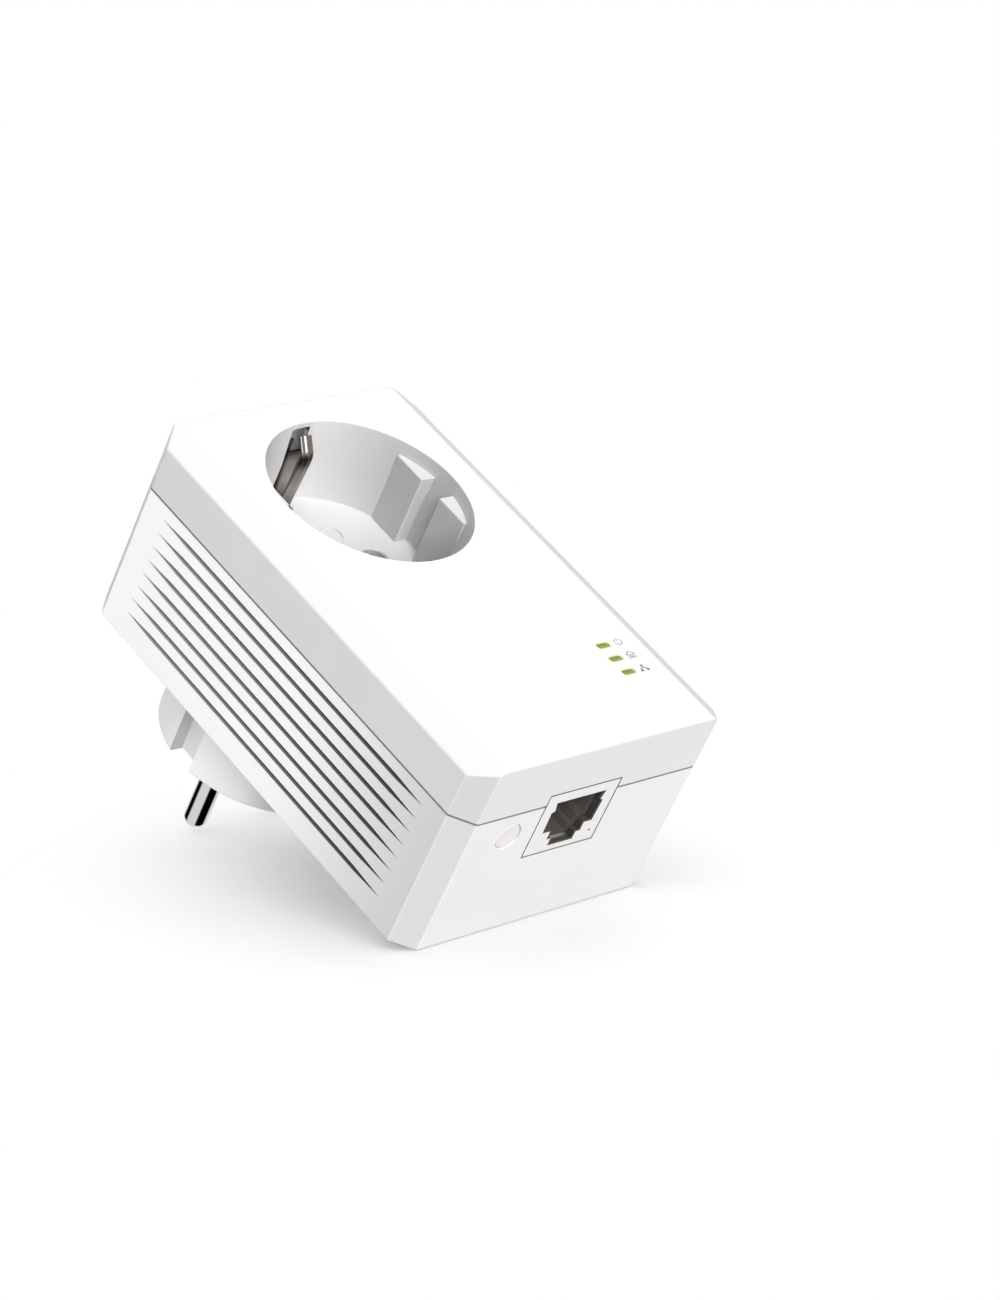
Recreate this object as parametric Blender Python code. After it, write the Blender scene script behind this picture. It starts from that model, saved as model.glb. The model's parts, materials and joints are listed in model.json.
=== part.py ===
"""Passthrough powerline adapter: a Schuko plug behind, a Schuko socket in front, an Ethernet
jack and a pair button in the bottom end.

World frame: +X to the right seen from the front, +Y towards the wall, +Z up.  The origin is the
middle of the plug's end face, so the pins stand out from it along +Y.  Sizes below are in
millimetres, and every mesh is scaled to metres when it is made.
"""
import math

import bmesh
import bpy
from mathutils import Matrix, Vector

for stale in list(bpy.data.objects):
    bpy.data.objects.remove(stale, do_unlink=True)

MM = 0.001
GAP = 0.3                     # running and mating gap between touching pieces

# ---- housing -------------------------------------------------------------------------------
WIDTH = 63.4
HEIGHT = 100.0
DEPTH = 43.0
WALL = 2.2
PLUG_DEPTH = 20.6             # plug body, from the rear face to its end face
REAR = -PLUG_DEPTH
FRONT = REAR - DEPTH
TOP = 26.8                    # above the plug and socket axis
BOTTOM = TOP - HEIGHT
MIDDLE = (TOP + BOTTOM) / 2
SEAM = FRONT + 12.2           # the joint line between the two shells
SEAM_GAP = 0.4
CORNER_X = 3.9                # chamfers on the four edges that run front to back
CORNER_Z = 4.0
BEVEL_X = 4.9                 # bevels along the long edges of the front face
BEVEL_Y = 2.7
LIP_OUT = 2.5                 # the lip inside the seam, measured in from the outer wall
LIP_IN = 3.6
LIP_REACH = 1.6               # how far the lip stands into the cover

# ---- vents ---------------------------------------------------------------------------------
VENTS = 8
VENT_FIRST = FRONT + 15.1
VENT_PITCH = 3.19
VENT_WIDTH = 1.1
VENT_LENGTH = 81.0
VENT_TAPER = 8.0              # each vent narrows to a point over this length

# ---- socket --------------------------------------------------------------------------------
BORE_RADIUS = 19.8
RIM_RADIUS = 20.9
RIM_DEPTH = 0.9
RECESS_DEPTH = 17.5
FLOOR = FRONT + RECESS_DEPTH
FLOOR_THICKNESS = 2.0
CUP_RADIUS = 21.5
CUP_FRONT = FRONT + WALL + GAP
PIN_PITCH = 19.0
PIN_X = PIN_PITCH / 2
SOCKET_HOLE_RADIUS = 2.95
GUIDE_X = 16.7                # flat inner faces of the two guide blocks
GUIDE_HEIGHT = 21.2
GUIDE_GROOVE = 5.6
GUIDE_GROOVE_DEPTH = 2.6
GUIDE_ROOT = 0.6              # how far the blocks reach into the wall of the cup
GUIDE_FRONT = FRONT + 2.8
CLIP_SLOT = (-3.3, 1.3)       # limits in x of the upper clip's slot; the lower clip is turned round
CLIP_SLOT_FLOOR = 16.4        # the slots start this far from the axis
CLIP_POCKET = FRONT + 1.1     # the slots' front ends, inside the cover's wall
CLIP_POCKET_DEPTH = 22.4
CLIP_BOW = (-2.0, 1.0)        # the sprung bow that a plug's earth strip touches
CLIP_SHEET = 0.7
CLIP_RIB = 0.25               # the rib along the middle of the bow
CLIP_RIB_WIDTH = 1.0
CLIP_PIVOT = (FLOOR + 0.4, 18.0)          # y and z of the upper clip's pivot
CLIP_ROOT = FLOOR + 3.0
CLIP_PLATE = (-3.0, 1.0)      # the flat strip along the wall, behind the bow
CLIP_PLATE_SHEET = 0.5
CLIP_PLATE_Z = 19.9
CLIP_PLATE_FRONT = FRONT + 3.0
CLIP_NOTCH = -2.3             # the plate is cut off from here, for the bow's tip as it flexes
CLIP_NOTCH_END = FRONT + 6.2
CARRIER_HALF = (16.0, 7.0)    # half sizes in x and z of the block that holds the sleeves
CARRIER_Y = (FLOOR + 2.4, FLOOR + 14.4)
CARRIER_BORE = 3.9
SLEEVE_OUTER = 3.5
SLEEVE_INNER = 2.6
SLEEVE_Y = (FLOOR + 2.6, FLOOR + 15.6)
SLEEVE_SLIT = 0.8
STRAP_Y = (FLOOR + 15.9, FLOOR + 17.1)    # the flat straps behind the sleeves
BUSBAR_X = (6.5, 12.5)
BUSBAR_Z = (-21.0, 4.0)
EARTH_STRAP_HALF = 3.0
EARTH_STRAP_ARM = (15.0, 16.2)

# ---- plug ----------------------------------------------------------------------------------
PLUG_RADIUS = 18.9
PIN_RADIUS = 2.4
PIN_LENGTH = 19.5
PIN_INNER_END = REAR - 7.1
PLUG_FLANGE_RADIUS = 21.3
PLUG_FLANGE = 2.0
PLUG_EDGE = 0.8
GROOVE_WIDTH = 5.4
GROOVE_DEPTH = 3.6
STRIP_SLOT = 8.4
STRIP_WIDTH = 6.6
STRIP_SHEET = 0.6
STRIP_FLOOR = 15.2
STRIP_PIVOT = (REAR + 2.3, 16.4)          # y and z of the upper strip's pivot

# ---- boards --------------------------------------------------------------------------------
BOARD = 1.6                   # thickness of both boards
MAIN_BOARD_BACK = FRONT + 9.6
POWER_BOARD_FRONT = REAR - 5.4
BOARD_HALF_WIDTH = 28.4
BOARD_NOTCH_X = 21.4
BOARD_NOTCH_Z = BOTTOM + 11.4
BOARD_TOP = -24.4
BOARD_BOTTOM = BOTTOM + WALL + 0.6
SHEET_Y = FRONT + 25.6        # the insulating sheet between the two boards
SHEET = 0.4
LINK_X = (-26.5, -24.0)       # the row of pins that joins the two boards
LINK_Z = (-44.0, -31.0)
LINE_CHIP = ((9.0, 21.0), (-42.0, -30.0), 1.2)        # limits in x and z, and the height
COOLER_HEIGHT = 7.0
COOLER_BASE = 1.5
COOLER_GAP = 1.2
COOLER_GAPS = 4
MEMORY_CHIP = ((-4.0, 4.0), (-36.0, -28.0), 1.0)
LINE_MAGNETICS = ((-8.0, 5.0), (-49.5, -40.5), 5.6)
TRANSFORMER = ((-22.0, -6.0), (-60.0, -46.0))         # limits in x and z
FILTER_CAPACITOR = ((-21.0, -3.0), (-38.0, -30.0))
STORAGE_RADIUS = 4.7
STORAGE_X = (-1.0, 10.0)
STORAGE_Z = (-64.0, -48.0)
CHOKE_CENTRE = (18.5, -36.0)
CHOKE_RADII = (6.4, 3.0)
FUSE_RADIUS = 2.1
FUSE_X = 5.4
FUSE_Z = (-43.0, -30.0)
VARISTOR_RADIUS = 4.6
VARISTOR_X = (17.5, 21.0)
VARISTOR_Z = -57.0

# ---- Ethernet jack -------------------------------------------------------------------------
JACK_X = -1.6
JACK_WIDTH = 16.0
JACK_FRONT = MAIN_BOARD_BACK + GAP
JACK_HEIGHT = 14.0
JACK_LENGTH = 18.6
JACK_BACK_WALL = 4.0
FRAME_WIDTH = 17.8
FRAME_SHEET = 2.0
FRAME_PLAY = 0.4              # the frame's port is this much wider than the jack's on each side
FRAME_FRONT = FRONT + 9.9
FRAME_BACK = FRONT + 24.6
PORT_FRONT = FRONT + 12.2
PORT_SHOULDER = FRONT + 19.4
PORT_STEP = FRONT + 21.4
PORT_BACK = FRONT + 23.2
PORT_HALF = 6.2
LATCH_HALF = 4.2
KEY_HALF = 3.1
CONTACTS = 8
CONTACT_PITCH = 1.02
CONTACT_WIRE = 0.4
CONTACT_RISE = 2.7
CONTACT_REACH = 10.8

# ---- pair button ---------------------------------------------------------------------------
BUTTON_X = -17.4
BUTTON_Y = FRONT + 17.7
BUTTON_RADIUS = 2.85
BUTTON_FLANGE = 3.4
BUTTON_STEM = 2.0
BUTTON_EDGE = 0.3
BUTTON_TRAVEL = 0.8
ARM_HALF = 1.4
ARM_TIP_HALF = 1.1
SWITCH_Y = MAIN_BOARD_BACK + 4.3
SWITCH_FACE = BOTTOM + 8.2
PLUNGER_TRAVEL = 0.3
PLUNGER_RADIUS = 1.4
PLUNGER_REACH = 0.5           # how far it stands out of the switch
SWITCH_HALF = 3.0
SWITCH_DEPTH = 4.4
SWITCH_WELL = 2.4

# ---- indicator lights ----------------------------------------------------------------------
LIGHTS = 3
LIGHT_X = 18.0
LIGHT_TOP_Z = MIDDLE - 26.8
LIGHT_PITCH = 3.75
LIGHT_WIDTH = 3.4
LIGHT_HEIGHT = 1.3
LIGHT_PLAY = 0.15
LIGHT_BRIDGE = 1.1            # the web behind the cover that joins the three prongs
LIGHT_BRIDGE_MARGIN = (2.4, 1.6)
LAMP = (0.8, 0.4, 0.6)        # half width, half height and thickness

# ---- screws --------------------------------------------------------------------------------
BOSS_X = 26.2
BOSS_Z = (TOP - 5.8, BOTTOM + 5.8)
BOSS_RADIUS = 3.9             # on the rear housing, joined to its walls
COVER_BOSS_RADIUS = 2.9
BOSS_JOINT = REAR - 11.0      # where the cover's bosses meet the rear housing's
HEAD_RADIUS = 2.6
HEAD_SEAT = REAR - 5.0
SHANK_RADIUS = 1.3
PILOT_RADIUS = 1.6
PILOT_DEPTH = 13.0
SCREW_LENGTH = 14.0
HEAD_THICKNESS = 1.9
HEAD_EDGE = 1.2

# ---- rear label ----------------------------------------------------------------------------
LABEL_HALF = 20.0
LABEL_Z = (-60.0, -32.0)
LABEL_BED = 0.6               # depth of the bed in the rear face
LABEL_SHEET = 0.2

OVER = 1.0                    # how far a cutter passes the surface that it cuts


# ---- materials -----------------------------------------------------------------------------
def material(name, colour, roughness, metallic=0.0):
    made = bpy.data.materials.new(name)
    made.use_nodes = True
    shader = made.node_tree.nodes["Principled BSDF"]
    shader.inputs["Base Color"].default_value = (*colour, 1.0)
    shader.inputs["Roughness"].default_value = roughness
    shader.inputs["Metallic"].default_value = metallic
    return made


GLOSS_WHITE = material("gloss_white_abs", (0.86, 0.86, 0.85), 0.28)
SATIN_WHITE = material("satin_white_abs", (0.84, 0.84, 0.83), 0.42)
PLUG_WHITE = material("plug_white_pbt", (0.85, 0.85, 0.84), 0.38)
JACK_GREY = material("jack_grey_plastic", (0.62, 0.61, 0.60), 0.45)
DARK_PLASTIC = material("dark_plastic", (0.03, 0.03, 0.03), 0.5)
NICKEL = material("nickel_plate", (0.62, 0.61, 0.59), 0.2, 1.0)
BRASS = material("brass", (0.72, 0.52, 0.25), 0.3, 1.0)
GOLD = material("gold_flash", (0.85, 0.65, 0.30), 0.25, 1.0)
STEEL = material("zinc_steel", (0.60, 0.60, 0.60), 0.35, 1.0)
ALUMINIUM = material("aluminium", (0.70, 0.70, 0.71), 0.35, 1.0)
LAMINATE = material("green_laminate", (0.03, 0.16, 0.07), 0.4)
EPOXY = material("black_epoxy", (0.02, 0.02, 0.022), 0.45)
FILM_YELLOW = material("yellow_film", (0.75, 0.55, 0.12), 0.4)
CAN_BLUE = material("capacitor_sleeve", (0.05, 0.07, 0.16), 0.35)
VARISTOR_BLUE = material("varistor_coat", (0.06, 0.16, 0.42), 0.4)
GLASS = material("fuse_glass", (0.75, 0.78, 0.76), 0.1)
FERRITE = material("ferrite", (0.06, 0.055, 0.05), 0.6)
LIGHT_GREEN = material("light_green", (0.36, 0.78, 0.18), 0.3)
LED_LENS = material("led_lens", (0.80, 0.84, 0.62), 0.3)
FIBRE = material("fibre_sheet", (0.78, 0.74, 0.62), 0.6)
LABEL = material("label_film", (0.80, 0.80, 0.80), 0.5)


# ---- meshes --------------------------------------------------------------------------------
def prism(outline, axis, low, high):
    """A closed solid: an outline extruded along an axis.

    The outline's points are (x, z) for axis Y, (x, y) for axis Z and (y, z) for axis X.
    """
    place = {
        "X": lambda p, h: (h, p[0], p[1]),
        "Y": lambda p, h: (p[0], h, p[1]),
        "Z": lambda p, h: (p[0], p[1], h),
    }[axis]
    bm = bmesh.new()
    ring = [bm.verts.new(place(p, low)) for p in outline]
    base = bm.faces.new(ring)
    grown = bmesh.ops.extrude_face_region(bm, geom=[base])
    moved = [v for v in grown["geom"] if isinstance(v, bmesh.types.BMVert)]
    shift = Vector(place((0, 0), high)) - Vector(place((0, 0), low))
    bmesh.ops.translate(bm, vec=shift, verts=moved)
    bmesh.ops.recalc_face_normals(bm, faces=bm.faces)
    return bm


def block(x, y, z):
    """A box between pairs of limits."""
    return prism([(x[0], y[0]), (x[1], y[0]), (x[1], y[1]), (x[0], y[1])], "Z", z[0], z[1])


def turned(profile, axis, centre, segments):
    """A solid of revolution.  The profile's points are (radius, height along the axis)."""
    place = {
        "X": lambda r, a, h: (h, centre[0] + r * math.cos(a), centre[1] + r * math.sin(a)),
        "Y": lambda r, a, h: (centre[0] + r * math.cos(a), h, centre[1] + r * math.sin(a)),
        "Z": lambda r, a, h: (centre[0] + r * math.cos(a), centre[1] + r * math.sin(a), h),
    }[axis]
    bm = bmesh.new()
    rings = []
    for radius, height in profile:
        if radius == 0:
            rings.append([bm.verts.new(place(0, 0, height))])
        else:
            angles = [2 * math.pi * k / segments for k in range(segments)]
            rings.append([bm.verts.new(place(radius, a, height)) for a in angles])
    for near, far in zip(rings, rings[1:]):
        for k in range(segments):
            n = (k + 1) % segments
            if len(near) == 1:
                bm.faces.new((near[0], far[k], far[n]))
            elif len(far) == 1:
                bm.faces.new((near[k], near[n], far[0]))
            else:
                bm.faces.new((near[k], near[n], far[n], far[k]))
    for ring in (rings[0], rings[-1]):
        if len(ring) > 1:
            bm.faces.new(ring)
    bmesh.ops.recalc_face_normals(bm, faces=bm.faces)
    return bm


def rod(axis, centre, radius, low, high, segments=24):
    return turned([(radius, low), (radius, high)], axis, centre, segments)


def tube(axis, centre, outer, inner, low, high, segments=24):
    """A pipe: the profile is closed by joining its last ring to its first."""
    bm = turned([(inner, low), (outer, low), (outer, high), (inner, high)], axis, centre, segments)
    caps = [f for f in bm.faces if len(f.verts) == segments and segments > 4]
    bmesh.ops.delete(bm, geom=caps, context="FACES_ONLY")
    edges = [e for e in bm.edges if len(e.link_faces) == 1]
    bmesh.ops.bridge_loops(bm, edges=edges)
    bmesh.ops.recalc_face_normals(bm, faces=bm.faces)
    return bm


def several(*parts):
    """One mesh of separate solids, for cutting with."""
    whole = bmesh.new()
    for part in parts:
        scratch = bpy.data.meshes.new("scratch")
        part.to_mesh(scratch)
        part.free()
        whole.from_mesh(scratch)
        bpy.data.meshes.remove(scratch)
    return whole


def add(name, bm, finish, at=(0, 0, 0)):
    """Make the object, in metres, with its origin at the point `at` (millimetres)."""
    bmesh.ops.translate(bm, vec=-Vector(at), verts=bm.verts)
    bmesh.ops.transform(bm, matrix=Matrix.Scale(MM, 4), verts=bm.verts)
    mesh = bpy.data.meshes.new(name)
    bm.to_mesh(mesh)
    bm.free()
    made = bpy.data.objects.new(name, mesh)
    made.location = Vector(at) * MM
    bpy.context.scene.collection.objects.link(made)
    if finish:
        mesh.materials.append(finish)
        mesh.shade_smooth()
        mesh.set_sharp_from_angle(angle=math.radians(35))
    return made


def combine(target, operation, bm, label):
    """Cut, join or intersect with a helper solid, which stays out of the finished model."""
    helper = add(f"{target.name}_{label}", bm, None)
    helper.hide_render = True
    helper.display_type = "WIRE"
    modifier = target.modifiers.new(label, "BOOLEAN")
    modifier.operation = operation
    modifier.solver = "EXACT"
    modifier.object = helper


def cut(target, bm, label):
    combine(target, "DIFFERENCE", bm, label)


def join(target, bm, label):
    combine(target, "UNION", bm, label)


# ---- outlines ------------------------------------------------------------------------------
def housing_outline(inset=0.0):
    """The eight-sided outline seen from the front, moved in by a wall thickness."""
    half = WIDTH / 2 - inset
    high = TOP - inset
    low = BOTTOM + inset
    slant = inset * (2 - math.sqrt(2))
    cx = CORNER_X - slant
    cz = CORNER_Z - slant
    return [
        (-half + cx, low), (half - cx, low), (half, low + cz), (half, high - cz),
        (half - cx, high), (-half + cx, high), (-half, high - cz), (-half, low + cz),
    ]


def cover_profile(inset, back):
    """The section across the width that carries the bevels of the front face."""
    half = WIDTH / 2 - inset
    front = FRONT + inset
    return [
        (-half, back), (-half, front + BEVEL_Y), (-half + BEVEL_X, front),
        (half - BEVEL_X, front), (half, front + BEVEL_Y), (half, back),
    ]


def port_outline(grow=0.0):
    """The Ethernet port: a wide mouth with a stepped notch for the latch towards the wall."""
    wide, latch, key = PORT_HALF + grow, LATCH_HALF + grow, KEY_HALF + grow
    front, shoulder = PORT_FRONT - grow, PORT_SHOULDER + grow
    step, back = PORT_STEP + grow, PORT_BACK + grow
    half = [(wide, front), (wide, shoulder), (latch, shoulder), (latch, step), (key, step), (key, back)]
    left = [(JACK_X - x, y) for x, y in reversed(half)]
    return [(JACK_X + x, y) for x, y in half] + left


def bent_strip(path, thickness, start=0.0):
    """The outline of a bent strip: a path of (y, z) points, thickened towards one side."""
    near, far = [], []
    for k, point in enumerate(path):
        before = Vector(path[max(k - 1, 0)])
        after = Vector(path[min(k + 1, len(path) - 1)])
        along = (after - before).normalized()
        for side, depth in ((near, start), (far, start + thickness)):
            side.append((point[0] - along.y * depth, point[1] + along.x * depth))
    return near + far[::-1]


def flipped(outline):
    """The same outline on the lower side of the socket or plug axis."""
    return [(y, -z) for y, z in outline]


def board_outline(top):
    """A board's outline, with its lower corners cut back around the screw bosses."""
    return [
        (-BOARD_NOTCH_X, BOARD_BOTTOM), (BOARD_NOTCH_X, BOARD_BOTTOM),
        (BOARD_NOTCH_X, BOARD_NOTCH_Z), (BOARD_HALF_WIDTH, BOARD_NOTCH_Z),
        (BOARD_HALF_WIDTH, top), (-BOARD_HALF_WIDTH, top),
        (-BOARD_HALF_WIDTH, BOARD_NOTCH_Z), (-BOARD_NOTCH_X, BOARD_NOTCH_Z),
    ]


def boss_centres():
    return [(side * BOSS_X, z) for z in BOSS_Z for side in (-1, 1)]


# ---- shells --------------------------------------------------------------------------------
def front_cover():
    """The front shell, with its bevelled long edges, socket hole, light windows and bosses."""
    back = SEAM - SEAM_GAP / 2
    cover = add("front_cover", prism(housing_outline(), "Y", FRONT, back), GLOSS_WHITE)
    combine(cover, "INTERSECT", prism(cover_profile(0, back + OVER), "Z", BOTTOM - OVER, TOP + OVER),
            "bevels")
    hollow = add("front_cover_hollow", prism(housing_outline(WALL), "Y", FRONT, back + OVER), None)
    combine(hollow, "INTERSECT",
            prism(cover_profile(WALL, back + 2 * OVER), "Z", BOTTOM - OVER, TOP + OVER), "bevels")
    hollow.hide_render = True
    hollow.display_type = "WIRE"
    hollowing = cover.modifiers.new("hollow", "BOOLEAN")
    hollowing.operation = "DIFFERENCE"
    hollowing.object = hollow
    boss_root = FRONT + WALL - SEAM_GAP / 2
    bosses = [rod("Y", centre, COVER_BOSS_RADIUS, boss_root, BOSS_JOINT - GAP / 2, 20)
              for centre in boss_centres()]
    for k, boss in enumerate(bosses):
        join(cover, boss, f"boss_{k + 1}")
    rim_slope = (RIM_RADIUS - BORE_RADIUS) / RIM_DEPTH
    mouth = turned([(RIM_RADIUS + OVER * rim_slope, FRONT - OVER), (RIM_RADIUS, FRONT),
                    (BORE_RADIUS, FRONT + RIM_DEPTH), (BORE_RADIUS, FRONT + WALL + OVER)],
                   "Y", (0, 0), 64)
    windows = [block((LIGHT_X - LIGHT_WIDTH / 2, LIGHT_X + LIGHT_WIDTH / 2),
                     (FRONT - OVER, FRONT + WALL + OVER),
                     (z - LIGHT_HEIGHT / 2, z + LIGHT_HEIGHT / 2)) for z in light_heights()]
    pilots = [rod("Y", centre, PILOT_RADIUS, BOSS_JOINT - PILOT_DEPTH, BOSS_JOINT + OVER, 12)
              for centre in boss_centres()]
    cut(cover, several(mouth, *windows, *pilots), "openings")
    pockets = [block(turned_round(CLIP_SLOT, side), (CLIP_POCKET, FRONT + WALL + OVER),
                     turned_round((CLIP_SLOT_FLOOR, CLIP_POCKET_DEPTH), side)) for side in (-1, 1)]
    cut(cover, several(*pockets), "clip_pockets")
    cut(cover, frame_space(), "frame_space")


def frame_space():
    """The rectangular space in the bottom wall that the jack's frame fills."""
    half = FRAME_WIDTH / 2 + GAP
    return block((JACK_X - half, JACK_X + half), (FRAME_FRONT - GAP, FRAME_BACK + GAP),
                 (BOTTOM - OVER, BOTTOM + LIP_IN + SEAM_GAP / 2))


def rear_housing():
    """The rear shell, with the vents, the lip inside the seam and the screw wells."""
    front = SEAM + SEAM_GAP / 2
    shell = add("rear_housing", prism(housing_outline(), "Y", front, REAR), SATIN_WHITE)
    join(shell, prism(housing_outline(LIP_OUT), "Y", front - LIP_REACH, front + OVER), "lip")
    cut(shell, prism(housing_outline(LIP_IN), "Y", front - 2 * LIP_REACH, front + LIP_REACH + OVER),
        "lip_hollow")
    cut(shell, prism(housing_outline(WALL), "Y", front + LIP_REACH, REAR - WALL), "hollow")
    for k, centre in enumerate(boss_centres()):
        join(shell, rod("Y", centre, BOSS_RADIUS, BOSS_JOINT + GAP / 2, REAR - WALL / 2, 20),
             f"boss_{k + 1}")
    vents = [vent(side, k) for side in (-1, 1) for k in range(VENTS)]
    cut(shell, several(*vents), "vents")
    wells = [rod("Y", centre, HEAD_RADIUS + GAP, HEAD_SEAT, REAR + OVER, 20)
             for centre in boss_centres()]
    bores = [rod("Y", centre, PILOT_RADIUS, BOSS_JOINT - OVER, HEAD_SEAT + OVER, 12)
             for centre in boss_centres()]
    passes = [rod("Y", centre, COVER_BOSS_RADIUS + GAP, front - LIP_REACH - OVER,
                  front + LIP_REACH + OVER, 20) for centre in boss_centres()]
    cut(shell, several(*wells), "wells")
    cut(shell, several(*passes), "lip_passes")
    cut(shell, several(*bores), "bores")
    button_hole = rod("Z", (BUTTON_X, BUTTON_Y), BUTTON_RADIUS + GAP, BOTTOM - OVER, BOTTOM + LIP_IN, 32)
    plug_hole = rod("Y", (0, 0), PLUG_RADIUS + GAP, REAR - WALL - OVER, REAR + OVER, 64)
    side = LABEL_HALF + GAP
    label_bed = block((-side, side), (REAR - LABEL_BED, REAR + OVER), (LABEL_Z[0] - GAP, LABEL_Z[1] + GAP))
    cut(shell, several(button_hole, plug_hole, label_bed), "openings")
    cut(shell, frame_space(), "frame_space")


def vent(side, index):
    """One vent in a long side: a slit that narrows to a point at both ends."""
    y = VENT_FIRST + index * VENT_PITCH
    half, end, straight = VENT_WIDTH / 2, VENT_LENGTH / 2, VENT_LENGTH / 2 - VENT_TAPER
    outline = [(y, MIDDLE - end), (y + half, MIDDLE - straight), (y + half, MIDDLE + straight),
               (y, MIDDLE + end), (y - half, MIDDLE + straight), (y - half, MIDDLE - straight)]
    near, far = WIDTH / 2 - WALL - OVER, WIDTH / 2 + OVER
    return prism(outline, "X", *((near, far) if side > 0 else (-far, -near)))


# ---- socket --------------------------------------------------------------------------------
def socket_cup():
    """The round recess: wall, floor, guide blocks, pin holes and the slots for the earth clips."""
    back = FLOOR + FLOOR_THICKNESS
    cup = add("socket_cup", rod("Y", (0, 0), CUP_RADIUS, CUP_FRONT, back, 64), GLOSS_WHITE)
    cut(cup, rod("Y", (0, 0), BORE_RADIUS, CUP_FRONT - OVER, FLOOR, 64), "recess")
    for side in (-1, 1):
        join(cup, guide_block(side), "guide_left" if side < 0 else "guide_right")
    grooves = []
    for side in (-1, 1):
        inner, outer = side * (GUIDE_X - OVER), side * (GUIDE_X + GUIDE_GROOVE_DEPTH)
        grooves.append(block(sorted((inner, outer)), (GUIDE_FRONT - OVER, FLOOR),
                             (-GUIDE_GROOVE / 2, GUIDE_GROOVE / 2)))
    cut(cup, several(*grooves), "guide_grooves")
    holes = [rod("Y", (side * PIN_X, 0), SOCKET_HOLE_RADIUS, FLOOR - OVER, back + OVER, 24)
             for side in (-1, 1)]
    slots = [block(turned_round(CLIP_SLOT, side), (CUP_FRONT - OVER, back + OVER),
                   turned_round((CLIP_SLOT_FLOOR, CUP_RADIUS + OVER), side)) for side in (-1, 1)]
    cut(cup, several(*holes, *slots), "openings")


def guide_block(side):
    """A segment of the bore cut off by a chord, standing on the floor."""
    steps = 10
    radius = BORE_RADIUS + GUIDE_ROOT
    swing = min(math.acos(GUIDE_X / radius), math.asin(GUIDE_HEIGHT / 2 / radius))
    arc = [swing * (2 * k / steps - 1) for k in range(steps + 1)]
    curve = [(side * radius * math.cos(a), radius * math.sin(a)) for a in arc]
    high = radius * math.sin(swing)
    return prism([(side * GUIDE_X, -high)] + curve + [(side * GUIDE_X, high)], "Y",
                 GUIDE_FRONT, FLOOR + FLOOR_THICKNESS / 4)


def turned_round(limits, turn):
    """Limits for the upper clip, or, with turn -1, for the lower one half a turn round."""
    return sorted(turn * limit for limit in limits)


def clip_path():
    """The upper bow from its root behind the floor to its tip, along its outer side."""
    y, z = CLIP_PIVOT
    crest = z - 0.7
    return [(CLIP_ROOT, z), (y - 1.0, z), (FRONT + 6.6, crest), (FRONT + 5.4, crest),
            (FRONT + 2.3, z + 1.6)]


def earth_clips():
    """The two sprung earth clips: each a ribbed bow, with a flat plate behind it on the wall."""
    for name, turn in (("top", 1), ("bottom", -1)):
        bow = bent_strip(clip_path(), CLIP_SHEET)
        rib = bent_strip(clip_path()[1:-1], CLIP_RIB * 2, start=CLIP_SHEET - CLIP_RIB)
        if turn < 0:
            bow, rib = flipped(bow), flipped(rib)
        y, z = CLIP_PIVOT
        clip = add(f"earth_clip_{name}", prism(bow, "X", *turned_round(CLIP_BOW, turn)), NICKEL,
                   at=(0, y, turn * z))
        middle = turn * sum(CLIP_BOW) / 2
        join(clip, prism(rib, "X", middle - CLIP_RIB_WIDTH / 2, middle + CLIP_RIB_WIDTH / 2), "rib")
        near, far = CLIP_PLATE
        outline = [(near, CLIP_PLATE_FRONT), (CLIP_NOTCH, CLIP_PLATE_FRONT), (CLIP_NOTCH, CLIP_NOTCH_END),
                   (far, CLIP_NOTCH_END), (far, CLIP_ROOT), (near, CLIP_ROOT)]
        levels = turned_round((CLIP_PLATE_Z, CLIP_PLATE_Z + CLIP_PLATE_SHEET), turn)
        add(f"clip_plate_{name}", prism([(turn * x, y) for x, y in outline], "Z", *levels), NICKEL)


def contact_carrier():
    """The block behind the socket floor that holds the two contact sleeves."""
    x, z = CARRIER_HALF
    carrier = add("contact_carrier", block((-x, x), CARRIER_Y, (-z, z)), SATIN_WHITE)
    bores = [rod("Y", (side * PIN_X, 0), CARRIER_BORE, CARRIER_Y[0] - OVER, CARRIER_Y[1] + OVER, 24)
             for side in (-1, 1)]
    cut(carrier, several(*bores), "bores")


def contact_sleeves():
    for name, side in (("contact_sleeve_left", -1), ("contact_sleeve_right", 1)):
        x = side * PIN_X
        sleeve = add(name, tube("Y", (x, 0), SLEEVE_OUTER, SLEEVE_INNER, *SLEEVE_Y), BRASS)
        cut(sleeve, block((x - SLEEVE_SLIT / 2, x + SLEEVE_SLIT / 2), (FLOOR, CARRIER_Y[1] - OVER),
                          (SLEEVE_INNER / 2, SLEEVE_OUTER + OVER)), "slit")


def busbars():
    """Straps that carry each pole from its plug pin down to the power board."""
    for name, side in (("busbar_left", -1), ("busbar_right", 1)):
        strap = add(name, block(sorted(side * x for x in BUSBAR_X), STRAP_Y, BUSBAR_Z), BRASS)
        cut(strap, rod("Y", (side * PIN_X, 0), PIN_RADIUS + GAP, STRAP_Y[0] - OVER, STRAP_Y[1] + OVER, 24),
            "pin_hole")


def earth_strap():
    """The strap between the earth clips' roots, bent round the sleeves."""
    half, (near, far) = EARTH_STRAP_HALF, EARTH_STRAP_ARM
    strap = add("earth_strap", block((-half, half), STRAP_Y, (-far, far)), BRASS)
    for label, z in (("top_arm", (near, far)), ("bottom_arm", (-far, -near))):
        join(strap, block((-half, half), (FLOOR + FLOOR_THICKNESS + GAP, STRAP_Y[0] + CLIP_SHEET), z),
             label)


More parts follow.
